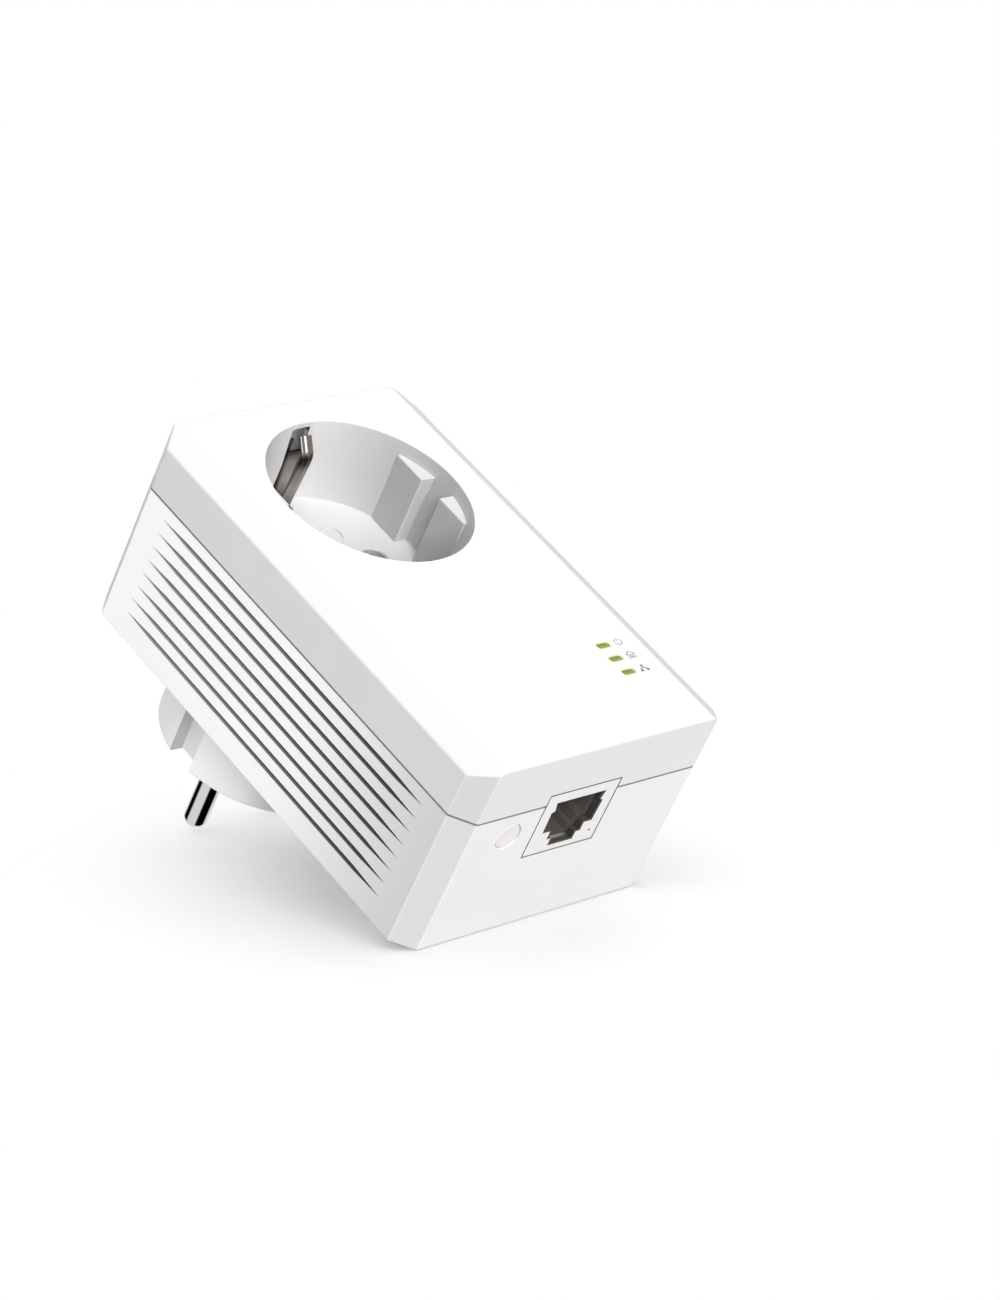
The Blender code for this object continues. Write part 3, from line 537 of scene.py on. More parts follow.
def lit_plastic():
    """The light windows: green glow that is deeper at the upper edge of each window."""
    made, tree, shader = material("lit_windows")
    from_first = arithmetic("SUBTRACT", coordinate(tree, "Z"), LIGHT_Z[0] * MM)
    half_pitch, half_height = LIGHT_PITCH * MM / 2, LIGHT_HEIGHT / 2 * MM
    from_middle = arithmetic("WRAP", from_first, half_pitch, -half_pitch)
    height = ramp(from_middle, -half_height, half_height, 0.0, 1.0, smooth=False)
    green = colours(height, (0.0, (0.30, 0.38, 0.08)), (0.6, (0.20, 0.26, 0.04)),
                    (1.0, (0.06, 0.09, 0.01)))
    feed(shader, {"Base Color": green, "Emission Color": green, "Emission Strength": 0.12,
                  "Roughness": 0.35})
    bump(shader, noise(tree, 0.4), 0.01)
    return made


def window_glow(tree):
    """Light in the plastic round the windows: strongest at their edges, gone 1 mm away."""
    place = position(tree)
    reach = (LIGHT_WIDTH / 2 * MM, 0.3 * MM, LIGHT_HEIGHT / 2 * MM)
    glow = 0.0
    for z in LIGHT_Z:
        away = vector("SUBTRACT", place, (LIGHT_X * MM, FRONT * MM, z * MM))
        past = vector("SUBTRACT", vector("ABSOLUTE", away), reach)
        length = vector("LENGTH", vector("MAXIMUM", past), output="Value")
        near = ramp(length, -0.5 * MM, 1.0 * MM, 0.62, 0.0)
        glow = arithmetic("MAXIMUM", near, glow)
    return glow


def painted_corner_shade(tree, tone):
    """Painted shade: a greyer tone on the slanting corners, and full white elsewhere."""
    both = arithmetic("MULTIPLY", facing(tree, "X"), facing(tree, "Z"))
    return ramp(both, 0.35, 0.49, 1.0, tone)


def cover_gloss_painted_light(name, colour, roughness):
    """Gloss white with painted light: painted shade makes it greyer on its sides, painted emission makes it
    brighter in front, and a painted glow makes it green round the lit windows.
    """
    made, tree, shader = opened(plastic(name, colour, roughness, 1.6, 0.004))
    # painted shade on the sides that face along X and on the slanting corners
    scale_colour(shader, ramp(facing(tree, "X"), 0.3, 1.0, 1.0, 0.79))
    scale_colour(shader, painted_corner_shade(tree, 0.86))
    base = shader.inputs["Base Color"].links[0].from_socket
    # painted glow: green from the lit windows mixed into the colour round them
    painted_glow_colour = blend(window_glow(tree), base, (0.62, 0.80, 0.18, 1))
    # painted light: emission on the surfaces that face the front
    front = ramp(facing(tree, "Y"), 0.9, 1.0, 0.0, 0.18)
    feed(shader, {"Base Color": painted_glow_colour, "Emission Color": painted_glow_colour, "Emission Strength": front})
    return made


def satin_painted_shade(name, colour):
    """Satin white with painted shade: greyer on the slanting corners and towards the bottom of its sides."""
    made, tree, shader = opened(plastic(name, colour, 0.5, 0.4, 0.014))
    scale_colour(shader, painted_corner_shade(tree, 0.71))
    # painted shade, deepest at the bottom of the sides
    low = ramp(coordinate(tree, "Z"), BOTTOM * MM, MIDDLE * MM, 0.34, 0.0)
    beside = ramp(facing(tree, "X"), 0.8, 1.0, 0.0, 1.0)
    painted_shade_loss = arithmetic("MULTIPLY", low, beside)
    scale_colour(shader, arithmetic("MULTIPLY_ADD", painted_shade_loss, -1.0, 1.0))
    return made


def recess_gloss_painted_shade(name, colour, roughness):
    """Gloss white with painted shade: its walls are painted darker than the floor, where they would take
    less light.
    """
    made, tree, shader = opened(plastic(name, colour, roughness, 1.6, 0.004))
    # painted shade on the walls that face along X and on the top and bottom of the bore
    for axis, start, tone in (("X", 0.0, 0.5), ("Z", 0.985, 0.74)):
        scale_colour(shader, ramp(facing(tree, axis), start, 1.0, 1.0, tone, False))
    return made


def plug_moulding_painted_shade(name, colour):
    """The plug's white, with painted shade: greyer on the side that faces down the housing."""
    made, tree, shader = opened(plastic(name, colour, 0.42, 0.6, 0.008))
    scale_colour(shader, ramp(coordinate(tree, "Z", "Normal"), -1.0, -0.6, 0.6, 1.0))
    return made


def vent_painted_shade(name):
    """Painted shade in the vents: dark, and lighter towards the top of the housing."""
    made, tree, shader = material(name)
    rise = ramp(coordinate(tree, "Z"), BOTTOM * MM, TOP * MM, 0.0, 1.0)
    feed(shader, {"Base Color": blend(rise, (0.085, 0.080, 0.077, 1), (0.42, 0.41, 0.40, 1)),
                  "Roughness": vary(noise(tree, 0.6), 0.6, 0.75)})
    return made


def clip_painted_light(name, colour):
    """Sprung strip: streaked along its length, with painted light along it: a painted dark reflection where
    the bow turns and painted shade at its root.
    """
    made, tree, shader = opened(metal(name, colour, 0.2, (1, 0.05, 1), 0.5))
    share = ramp(coordinate(tree, "Y"), FRONT * MM, FLOOR * MM, 0.0, 1.0, smooth=False)
    # painted brightness along the strip: a dark reflection at the bow's turn and shade at the root
    painted_levels = ((0.14, 0.65), (0.26, 0.7), (0.31, 0.12), (0.37, 0.12), (0.48, 0.7), (0.72, 1.0), (1.0, 0.2))
    scale_colour(shader, colours(share, *[(place, (level,) * 3) for place, level in painted_levels]))
    return made


WHITE = (0.878, 0.868, 0.863)
# the cover's gloss carries painted shade on its sides and corners, painted light in front and a painted glow
# round the windows
GLOSS = cover_gloss_painted_light("gloss_white_moulding_painted_light", WHITE, 0.3)
CUP_GLOSS_PAINTED_SHADE = recess_gloss_painted_shade("gloss_white_recess_painted_shade", WHITE, 0.34)
SATIN_PAINTED_SHADE = satin_painted_shade("satin_white_moulding_painted_shade", (0.95, 0.95, 0.945))
BUTTON_PLASTIC = plastic("button_white_moulding", (0.93, 0.90, 0.885), 0.45, 0.4, 0.008)
FRAME_PLASTIC = plastic("frame_white_moulding", (0.93, 0.93, 0.925), 0.45, 0.4, 0.006)
VENT_PAINTED_SHADE = vent_painted_shade("satin_white_vent_depth")
PLUG_PLASTIC_PAINTED_SHADE = plug_moulding_painted_shade("plug_white_moulding_painted_shade", (0.96, 0.96, 0.955))
JACK_PLASTIC = plastic("jack_grey_moulding", (0.115, 0.10, 0.09), 0.5, 0.5, 0.01)
SLOT_SHADE = plastic("shaded_slot", (0.055, 0.047, 0.043), 0.6, 0.4, 0.01)
SHADED = plastic("shaded_joint", (0.27, 0.265, 0.26), 0.6, 0.4, 0.01)
PRINT = plastic("grey_print", (0.30, 0.30, 0.31), 0.6, 0.2, 0.003)
LABEL = plastic("silver_label_film", (0.66, 0.66, 0.67), 0.45, 0.3, 0.004)
CHROME = metal("polished_nickel", (0.78, 0.77, 0.76), 0.09, (1, 0.06, 1))
SPRING_NICKEL = metal("rolled_nickel", (0.50, 0.475, 0.45), 0.24, (1, 0.1, 1))
CLIP_NICKEL_PAINTED_LIGHT = clip_painted_light("sprung_nickel_painted_light", (0.34, 0.315, 0.295))
GOLD = metal("gold_flash", (0.86, 0.66, 0.30), 0.22, (1, 1, 0.2))
ZINC = metal("zinc_plate", (0.60, 0.61, 0.62), 0.32)
LIT = lit_plastic()
INNER_FINISHES = {  # by slot
    "satin_white": SATIN_PAINTED_SHADE,
    "zinc_steel": ZINC,
    "dark_plastic": plastic("dark_moulding", (0.025, 0.025, 0.027), 0.5, 0.5, 0.012),
    "brass": metal("rolled_brass", (0.72, 0.52, 0.25), 0.3, (1, 0.2, 0.2)),
    "aluminium": metal("extruded_aluminium", (0.72, 0.72, 0.73), 0.35, (1, 1, 0.1)),
    "laminate": plastic("green_laminate", (0.03, 0.15, 0.07), 0.38, 0.9, 0.02),
    "epoxy": plastic("black_epoxy", (0.02, 0.02, 0.022), 0.45, 0.25, 0.01),
    "film_yellow": plastic("yellow_film_case", (0.72, 0.52, 0.11), 0.4, 0.8, 0.01),
    "sleeve_blue": plastic("capacitor_sleeve", (0.05, 0.07, 0.17), 0.32, 0.9, 0.008),
    "varistor_blue": plastic("varistor_coat", (0.06, 0.15, 0.42), 0.4, 0.7, 0.03),
    "fuse_glass": plastic("fuse_glass", (0.74, 0.78, 0.76), 0.12, 2.0, 0.003),
    "ferrite": plastic("ferrite", (0.06, 0.055, 0.05), 0.6, 0.3, 0.03),
    "led_lens": plastic("led_lens", (0.80, 0.84, 0.62), 0.3, 0.8, 0.004),
    "fibre": plastic("fibre_sheet", (0.76, 0.71, 0.58), 0.7, 0.25, 0.03),
}


# ---- shells --------------------------------------------------------------------------------
def housing_outline(inset=0.0):
    """The eight-sided outline seen from the front, moved in by a wall thickness."""
    half, high, low = HALF_WIDTH - inset, TOP - inset, BOTTOM + inset
    slant = inset * (2 - math.sqrt(2))
    cx, cz = CORNER_X - slant, CORNER_Z - slant
    return [(-half + cx, low), (half - cx, low), (half, low + cz), (half, high - cz),
            (half - cx, high), (-half + cx, high), (-half, high - cz), (-half, low + cz)]


def cover_profile(inset, back):
    """The section across the width that carries the bevels of the front face."""
    half, front = HALF_WIDTH - inset, FRONT + inset
    return [(-half, back), (-half, front + BEVEL_Y), (-half + BEVEL_X, front),
            (half - BEVEL_X, front), (half, front + BEVEL_Y), (half, back)]


def bevelled_solid(name, inset, back):
    made = solid(name, prism(housing_outline(inset), "Y", FRONT, back))
    combine(made, "INTERSECT", prism(cover_profile(inset, back + OVER), "Z", BOTTOM - OVER, TOP + OVER))
    return made


def frame_space():
    """The rectangular space in the bottom wall that the jack's frame fills."""
    (x, y, _) = limits("jack_frame")
    return block(widened(x, GAP), widened(y, GAP), (BOTTOM - OVER, BOTTOM + LIP_IN + 0.2))


def boss_rods(radius, low, high, segments=32):
    """A rod on each screw's axis."""
    return [rod("Y", centre, radius, low, high, segments) for centre in BOSSES]


def front_cover():
    """The glossy front shell, with its bevels, the round mouth and the three light windows."""
    cover = bevelled_solid("front_cover_fine", 0, SEAM_FRONT)
    soften(cover, EDGE, 4, where=lambda p: p.y < SEAM_FRONT - SEAM_EDGE)
    soften(cover, SEAM_EDGE, 2, where=lambda p: p.y > SEAM_FRONT - SEAM_EDGE / 2)
    cut(cover, bevelled_solid("hollow", WALL, SEAM_FRONT + OVER))
    join(cover, *boss_rods(COVER_BOSS_RADIUS, FRONT + WALL - 0.2, BOSS_JOINT - GAP / 2))
    rim, behind = MOUTH_RADIUS + EDGE / 2, FRONT + WALL + OVER
    mouth = [(rim, FRONT - OVER)] + arc((rim, FRONT + EDGE / 2), (EDGE / 2, EDGE / 2), 270, 180, 4)
    cut(cover, turned(mouth + [(recess_radius(behind), behind)]))
    cut(cover, *[block(turned_round(CLIP_SLOT, turn), (CLIP_POCKET, behind),
                       turned_round((CLIP_SLOT_FLOOR, POCKET_TOP), turn)) for turn in (-1, 1)])
    for z in LIGHT_Z:
        cut(cover, light_window(z))
    cut(cover, *boss_rods(PILOT_RADIUS, BOSS_JOINT - PILOT_DEPTH, BOSS_JOINT + OVER, 16))
    cut(cover, frame_space())
    piece(cover, GLOSS, "front_cover")
    line_with(cover, SHADED, beside_frame)
    # painted shade: the mouth's wall takes the recess's darker material
    line_with(cover, CUP_GLOSS_PAINTED_SHADE, within_mouth)
    line_with(cover, SLOT_SHADE, within_clip_slot)


def within_mouth(point):
    """Whether a point is on the wall of the cover's round mouth."""
    return point.xz.length < MOUTH_RADIUS + EDGE / 4 and FRONT < point.y < FRONT + WALL


def within_clip_slot(point):
    """Whether a point is on the walls of a slot for an earth clip."""
    low, high = widened(CLIP_SLOT, CLIP_LIMIT)
    inside = low < point.x * math.copysign(1, point.z) < high
    outside = recess_radius(point.y) + 0.05 < abs(point.z) < CUP_RADIUS + OVER
    return inside and outside and point.y > CLIP_POCKET - CLIP_LIMIT


def beside_frame(point):
    """Whether a point is on the walls of the space for the jack's frame, below the surface."""
    x, y = [widened(pair, FRAME_MARGIN) for pair in limits("jack_frame")[:2]]
    near = x[0] < point.x < x[1] and y[0] < point.y < y[1]
    return near and BOTTOM + 0.04 < point.z < BOTTOM + LIP_IN


def recess_radius(y):
    """The recess narrows steadily from its mouth to half its depth, and is straight from there."""
    share = min(1.0, (y - FRONT) / ((FLOOR - FRONT) / 2))
    return MOUTH_RADIUS + (BORE_RADIUS - MOUTH_RADIUS) * share


def turned_round(span, turn):
    """Limits, which turn -1 moves half a turn round the axis of the socket and the plug."""
    return sorted(turn * limit for limit in span)


def light_window(z):
    """A cutter for one window: round corners, and a small flare at the face."""
    heights = [FRONT - OVER, FRONT, FRONT + FINE_EDGE, FRONT + WALL + OVER]
    grown = [FINE_EDGE, FINE_EDGE, 0, 0]
    outlines = [rounded_box((LIGHT_X - LIGHT_WIDTH / 2 - g, LIGHT_X + LIGHT_WIDTH / 2 + g),
                            (z - LIGHT_HEIGHT / 2 - g, z + LIGHT_HEIGHT / 2 + g), 0.5 + g) for g in grown]
    return loft(outlines, "Y", heights)


def vent(side, index):
    """A cutter for one vent: a slit that narrows to points, and flares a little at the surface."""
    y = VENT_FIRST + index * VENT_PITCH
    outlines, heights = [], []
    for depth, flare in ((-OVER, VENT_FLARE), (0.0, VENT_FLARE), (0.3, 0.0), (WALL + OVER, 0.0)):
        half = VENT_WIDTH / 2 + flare
        end, straight = VENT_LENGTH / 2 + flare, VENT_LENGTH / 2 - VENT_TAPER
        outlines.append([(y, MIDDLE - end), (y + half, MIDDLE - straight), (y + half, MIDDLE + straight),
                         (y, MIDDLE + end), (y - half, MIDDLE + straight), (y - half, MIDDLE - straight)])
        heights.append(side * (HALF_WIDTH - depth))
    return loft(outlines, "X", heights)


def rear_housing():
    """The satin rear shell, with the vents, the lip inside the seam and the screw wells."""
    shell = solid("rear_housing_fine", prism(housing_outline(), "Y", SEAM_REAR, REAR))
    soften(shell, EDGE, 4, where=lambda p: p.y > SEAM_REAR + SEAM_EDGE)
    soften(shell, SEAM_EDGE, 2, where=lambda p: p.y < SEAM_REAR + SEAM_EDGE / 2)
    lip_front = SEAM_REAR - LIP_REACH
    join(shell, prism(housing_outline(LIP_OUT), "Y", lip_front, SEAM_REAR + OVER))
    lip_back = SEAM_REAR + LIP_REACH
    cut(shell, prism(housing_outline(LIP_IN), "Y", lip_front - OVER, lip_back + OVER))
    cut(shell, prism(housing_outline(WALL), "Y", lip_back, REAR - WALL))
    join(shell, *boss_rods(BOSS_RADIUS, BOSS_JOINT + GAP / 2, REAR - WALL / 2))
    cut(shell, *[vent(side, k) for side in (-1, 1) for k in range(VENTS)])
    rim, chamfer = HEAD_RADIUS + GAP, 0.3
    well = [(rim, HEAD_SEAT), (rim, REAR - chamfer), (rim + chamfer, REAR), (rim + chamfer, REAR + OVER)]
    cut(shell, *[turned(well, "Y", centre, 48) for centre in BOSSES])
    cut(shell, *boss_rods(COVER_BOSS_RADIUS + GAP, lip_front - OVER, lip_back + OVER))
    cut(shell, *boss_rods(PILOT_RADIUS, BOSS_JOINT - OVER, HEAD_SEAT + OVER, 16))
    hole = BUTTON_RADIUS + BUTTON_GAP
    profile = [(hole + FINE_EDGE, BOTTOM - OVER), (hole + FINE_EDGE, BOTTOM), (hole, BOTTOM + FINE_EDGE),
               (hole, BOTTOM + LIP_IN)]
    cut(shell, turned(profile, "Z", (BUTTON_X, BUTTON_Y), 64))
    cut(shell, rod("Y", (0, 0), PLUG_RADIUS + 0.1, REAR - WALL - OVER, REAR + OVER, ROUND))
    (x, _, z) = limits("rear_label")
    bed = rounded_box(widened(x, GAP), widened(z, GAP), 1.3)
    cut(shell, prism(bed, "Y", REAR - 0.6, REAR + OVER))
    cut(shell, frame_space())
    piece(shell, SATIN_PAINTED_SHADE, "rear_housing")
    # painted shade on the walls of the vents
    line_with(shell, VENT_PAINTED_SHADE, within_vents)
    line_with(shell, SHADED, lambda point: beside_frame(point) or point.y < SEAM_REAR + 0.01)


def within_vents(point):
    """Whether a point is on the walls of a vent."""
    beside = VENT_FIRST - VENT_WIDTH < point.y < VENT_FIRST + VENTS * VENT_PITCH
    inside = HALF_WIDTH - WALL - FINE_EDGE < abs(point.x) < HALF_WIDTH - VENT_FLARE / 2
    return beside and inside and abs(point.z - MIDDLE) < VENT_LENGTH / 2


# ---- socket --------------------------------------------------------------------------------
def guide_block(side, up):
    """Half of a guide: a flat-faced block on the wall, above or below the groove in the middle."""
    radius, groove, steps = MOUTH_RADIUS + 0.2, GUIDE_GROOVE / 2, 8
    low, high = math.asin(groove / radius), math.asin(GUIDE_HEIGHT / 2 / radius)
    angles = [low + (high - low) * k / steps for k in range(steps + 1)]
    outline = [(GUIDE_X, groove)] + [(radius * math.cos(a), radius * math.sin(a)) for a in angles]
    outline.append((GUIDE_X, radius * math.sin(high)))
    made = solid("guide", prism([(side * x, up * z) for x, z in outline], "Y", GUIDE_FRONT, FLOOR + 0.5))
    soften(made, 0.3, 3, angle=40, where=lambda p: p.y < FLOOR and abs(p.x) < GUIDE_X + 0.1)
    return made


def socket_cup():
    """The round recess with its guides, chamfered pin holes and the slots for the earth clips."""
    cup = solid("socket_cup_fine", rod("Y", (0, 0), CUP_RADIUS, FRONT + WALL, CUP_BACK, ROUND))
    bore = [(recess_radius(y), y) for y in (FRONT + WALL - OVER, (FRONT + FLOOR) / 2)]
    bore += arc((BORE_RADIUS - 0.5, FLOOR - 0.5), (0.5, 0.5), 0, 90, 4)
    cut(cup, turned(bore + [(0, FLOOR)]))
    for side, up in ((-1, -1), (-1, 1), (1, -1), (1, 1)):
        join(cup, guide_block(side, up))
    rim = HOLE_RADIUS + HOLE_CHAMFER
    hole = [(rim, FLOOR - OVER), (rim, FLOOR), (HOLE_RADIUS, FLOOR + HOLE_CHAMFER),
            (HOLE_RADIUS, CUP_BACK + OVER)]
    cut(cup, *[turned(hole, "Y", (side * PIN_X, 0), 48) for side in (-1, 1)])
    cut(cup, *[block(turned_round(CLIP_SLOT, turn), (FRONT + WALL - OVER, CUP_BACK + OVER),
                     turned_round((CLIP_SLOT_FLOOR, CUP_RADIUS + OVER), turn)) for turn in (-1, 1)])
    piece(cup, CUP_GLOSS_PAINTED_SHADE, "socket_cup")
    line_with(cup, SLOT_SHADE, within_clip_slot)


def floor_marks():
    """Moulded marks on the recess floor: a plain ring, and the earth symbol in a ring."""
    low, high = FLOOR - 0.2, FLOOR + 0.3
    x, z = 4.8, -12.0
    rings = []
    for centre, radius in (((4.3, 7.6), 2.4), ((x, z), 2.6)):
        section = [(radius - 0.14, low), (radius + 0.14, low), (radius + 0.22, high), (radius - 0.22, high)]
        rings.append(turned(section, "Y", centre, 64, ring=True))
    rungs = [block((x - half, x + half), (low, high), (z + level - 0.1, z + level + 0.1))
             for half, level in ((1.3, -0.35), (0.85, -0.85), (0.4, -1.35))]
    stem = block((x - 0.1, x + 0.1), (low, high), (z - 0.35, z + 1.5))
    piece(solid("floor_marks", several(*rings, *rungs, stem)), CUP_GLOSS_PAINTED_SHADE, body="housing", slot="gloss_white")


def earth_clips():
    """The sprung earth clips: a ribbed bow, and the flat plate behind it in its slot."""
    for name, turn in (("top", 1), ("bottom", -1)):
        node = f"earth_clip_{name}"
        (x, y, z) = limits(node)
        tip = max(abs(limit) for limit in z)
        rest = tip - 1.6
        points = [(y[1], rest), (FLOOR - 0.6, rest), (FRONT + 6.9, rest - 0.75), (FRONT + 5.2, rest - 0.75),
                  (FRONT + 2.3, tip)]
        section = strip_section(x[1] - x[0], 0.7, 0.28, 1.2, x=sum(x) / 2)
        bow = solid(f"{node}_fine", swept(rounded_path(points, 2.2, 8), section, turn))
        piece(bow, CLIP_NICKEL_PAINTED_LIGHT, node)
        clip_plate(name, turn)


def clip_plate(name, turn):
    """The plate: a flat strip along the slot, narrower in front to let the bow's tip through."""
    node = f"clip_plate_{name}"
    (x, y, z) = limits(node)
    near, far = turned_round(x, turn)
    notch_end = FRONT + 6.2
    outline = [(near, y[0]), (CLIP_NOTCH, y[0]), (CLIP_NOTCH, notch_end), (far, notch_end), (far, y[1]),
               (near, y[1])]
    plate = solid(f"{node}_fine", prism([(turn * across, depth) for across, depth in outline], "Z", *z))
    soften(plate, 0.12, 2)
    piece(plate, CLIP_NICKEL_PAINTED_LIGHT, node)


# ---- plug ----------------------------------------------------------------------------------
def plug_groove(x, y, z, inner, axis):
    """A groove with round edges along its floor, which lies at this distance from the plug's axis."""
    groove = solid("groove", block(x, y, z))
    soften(groove, 0.4, 3, where=lambda p: abs(abs(p[axis]) - inner) < 0.1)
    return groove


def plug_base():
    """The round plug body with its guide grooves, earth strip recesses and inner flange."""
    flange, seat, edge = 21.3, REAR - WALL - GAP, 0.9
    profile = [(flange, seat - 2.0), (flange, seat), (PLUG_RADIUS, seat)]
    profile += arc((PLUG_RADIUS - edge, -edge), (edge, edge), 0, 90, 6)
    base = solid("plug_base_fine", turned(profile + [(0, 0)]))
    inner, outer = PLUG_RADIUS - GROOVE_DEPTH, PLUG_RADIUS + OVER
    bore = [(PIN_BORE, seat - 4), (PIN_BORE, -0.3), (PIN_BORE + 0.3, 0), (PIN_BORE + 0.3, OVER)]
    for side in (-1, 1):
        cut(base, plug_groove(turned_round((inner, outer), side), (REAR + 1.2, OVER),
                              (-GROOVE_HALF, GROOVE_HALF), inner, 0))
        cut(base, plug_groove((-4.2, 4.2), (REAR + 0.9, OVER), turned_round((STRIP_SEAT, outer), side),
                              STRIP_SEAT, 2))
        cut(base, turned(bore, "Y", (side * PIN_X, 0), 48))
    piece(base, PLUG_PLASTIC_PAINTED_SHADE, "plug_base")


def plug_pins():
    """Round pins with domed ends."""
    for node in ("plug_pin_left", "plug_pin_right"):
        (x, y, _) = limits(node)
        radius = (x[1] - x[0]) / 2
        dome = 0.85 * radius
        profile = [(radius, y[0]), (radius, y[1] - dome)]
        profile += arc((0, y[1] - dome), (radius, dome), 0, 90, 10)[1:-1] + [(0, y[1])]
        pin = solid(f"{node}_fine", turned(profile, "Y", ((x[0] + x[1]) / 2, 0), 64))
        piece(pin, CHROME, node)


def plug_earth_strips():
    """The sprung earth strips on the top and the bottom of the plug."""
    points = [(REAR + 1.5, 16.2), (REAR + 3.9, 16.3), (-8.6, 17.6), (-6.8, 17.6), (-1.6, 16.0)]
    path = rounded_path(points, 1.5)
    for node, turn in (("plug_earth_top", 1), ("plug_earth_bottom", -1)):
        strip = solid(f"{node}_fine", swept(path, strip_section(6.6, 0.6), turn))
        piece(strip, SPRING_NICKEL, node)


# ---- Ethernet jack -------------------------------------------------------------------------
def port_outline(grow=0.0, ears=0.0):
    """The Ethernet port: a wide mouth with a stepped notch for the latch towards the wall.

    Ears make the sides lean in from the front, and step out again a third of the way along.
    """
    wide, latch, key = PORT_HALF + grow, LATCH_HALF + grow, KEY_HALF + grow
    front, shoulder = PORT_FRONT - grow, PORT_SHOULDER + grow
    step, back = PORT_STEP + grow, PORT_BACK + grow
    ear = PORT_FRONT + 2.3
    half = [(wide, front), (wide - ears, ear - 0.3), (wide + ears / 2, ear), (wide, shoulder),
            (latch, shoulder), (latch, step), (key, step), (key, back)]
    left = [(JACK_X - x, y) for x, y in reversed(half)]
    return [(JACK_X + x, y) for x, y in half] + left


def jack_frame():
    """The flush frame round the port, with a chamfered mouth and a tiny gate mark."""
    (x, y, z) = limits("jack_frame")
    made = solid("jack_frame_fine", block(x, y, z))
    soften(made, 0.05, 2)
    grown = (0.12, 0.12, 0.05, 0.05, 1.1, 1.1)
    heights = (z[0] - OVER, z[0], z[0] + 0.07, z[0] + 0.45, z[0] + 0.9, z[1] + OVER)
    cut(made, loft([port_outline(g, ears=0.5) for g in grown], "Z", heights))
    gate_mark = (5.4, FRONT + 22.1)
    cut(made, rod("Z", gate_mark, 0.28, z[0] - OVER, z[0] + 0.6, 24))
    piece(made, FRAME_PLASTIC, "jack_frame")
    line_with(made, JACK_PLASTIC, lambda point: point.z > z[0] + 0.03)


def jack_shell():
    """The jack itself: the port's cavity, with a comb that keeps the contacts apart."""
    (x, y, z) = limits("jack_shell")
    made = solid("jack_shell_fine", block(x, y, z))
    soften(made, 0.25, 2)
    cut(made, prism(port_outline(), "Z", z[0] - OVER, z[1] - 4.0))
    middles = [JACK_X + k * CONTACT_PITCH for k in range(-4, 5)]
    join(made, *[block((middle - 0.2, middle + 0.2), (PORT_FRONT - 0.2, PORT_FRONT + 1.6),
                       (z[0] + 8.0, z[1] - 3.5)) for middle in middles])
    piece(made, JACK_PLASTIC, "jack_shell")


def jack_contacts():
    """Eight gold spring wires that slant back from the mouth of the jack."""
    for k in range(8):
        node = f"jack_contact_{k + 1}"
        (x, y, z) = limits(node)
        points = [(y[0] + 0.2, z[0] + 0.1), (y[0] + 0.3, z[0] + 0.7), (y[1] - 0.5, z[1] - 0.9),
                  (y[1] - 0.1, z[1] - 0.1)]
        section = strip_section(x[1] - x[0], 0.3, x=sum(x) / 2)
        wire = solid(f"{node}_fine", swept(rounded_path(points, 0.5), section))
        piece(wire, GOLD, node)


# ---- button, lights, screws, label ---------------------------------------------------------
def pair_button():
    """The button's cap with a dished face and a round edge, on its flange and arm."""
    (_, y, (low, high)) = limits("pair_button")
    flange, edge = BOTTOM + WALL + GAP, 0.2
    profile = [(0, low + 0.1), (BUTTON_RADIUS - 1.4, low + 0.07), (BUTTON_RADIUS - 0.6, low)]
    profile += arc((BUTTON_RADIUS - edge, low + edge), (edge, edge), 270, 360, 5)
    profile += [(BUTTON_RADIUS, flange), (3.4, flange), (3.4, flange + 1.2), (2.0, flange + 1.2),
                (2.0, flange + 3.2)]
    button = solid("pair_button_fine", turned(profile, "Z", (BUTTON_X, BUTTON_Y), 64))
    arm = (flange + 1.7, flange + 3.1)
    join(button, block((BUTTON_X - 1.4, BUTTON_X + 1.4), (y[0] + 0.1, BUTTON_Y), arm))
    join(button, block((BUTTON_X - 1.1, BUTTON_X + 1.1), (y[0], y[0] + 2.3), (arm[0] + 0.2, high)))
    piece(button, BUTTON_PLASTIC, "pair_button")


def light_guide():
    """Three prongs with softly domed ends in the windows, on one bridge behind the cover."""
    (x, y, z) = limits("light_guide")
    half_x, half_z = LIGHT_WIDTH / 2 - LIGHT_GAP, LIGHT_HEIGHT / 2 - LIGHT_GAP
    bridge = FRONT + WALL + GAP
    guide = solid("light_guide_fine", block(x, (bridge, bridge + BRIDGE_DEPTH), z))
    for level in LIGHT_Z:
        outlines, heights = [], []
        for shrink, depth in ((0.5, 0.08), (0.25, 0.11), (0.08, 0.2), (0.0, 0.36)):
            outlines.append(rounded_box((LIGHT_X - half_x + shrink, LIGHT_X + half_x - shrink),
                                        (level - half_z + shrink, level + half_z - shrink),
                                        0.5 - shrink * 0.9))
            heights.append(FRONT + depth)
        outlines.append(outlines[-1])
        heights.append(y[1])
        join(guide, loft(outlines, "Y", heights))
    piece(guide, LIT, "light_guide")


def printed(name, *parts):
    """Print: flat shapes that stand a hair's breadth above the surface."""
    piece(solid(name, several(*parts)), PRINT, body="housing", slot="dark_plastic")


def bar(start, end, width):
    """A printed line between two (x, z) points."""
    start, end = Vector(start), Vector(end)
    ahead = (end - start).normalized() * width / 2
    side = Vector((-ahead.y, ahead.x))
    outline = (start - ahead + side, start - ahead - side, end + ahead - side, end + ahead + side)
    return prism(outline, "Y", *INK)


def bars(x, z, *ends):
    """Printed lines, each between two points that are given as distances from (x, z)."""
    return [bar((x + a, z + b), (x + c, z + d), ICON_LINE) for a, b, c, d in ends]


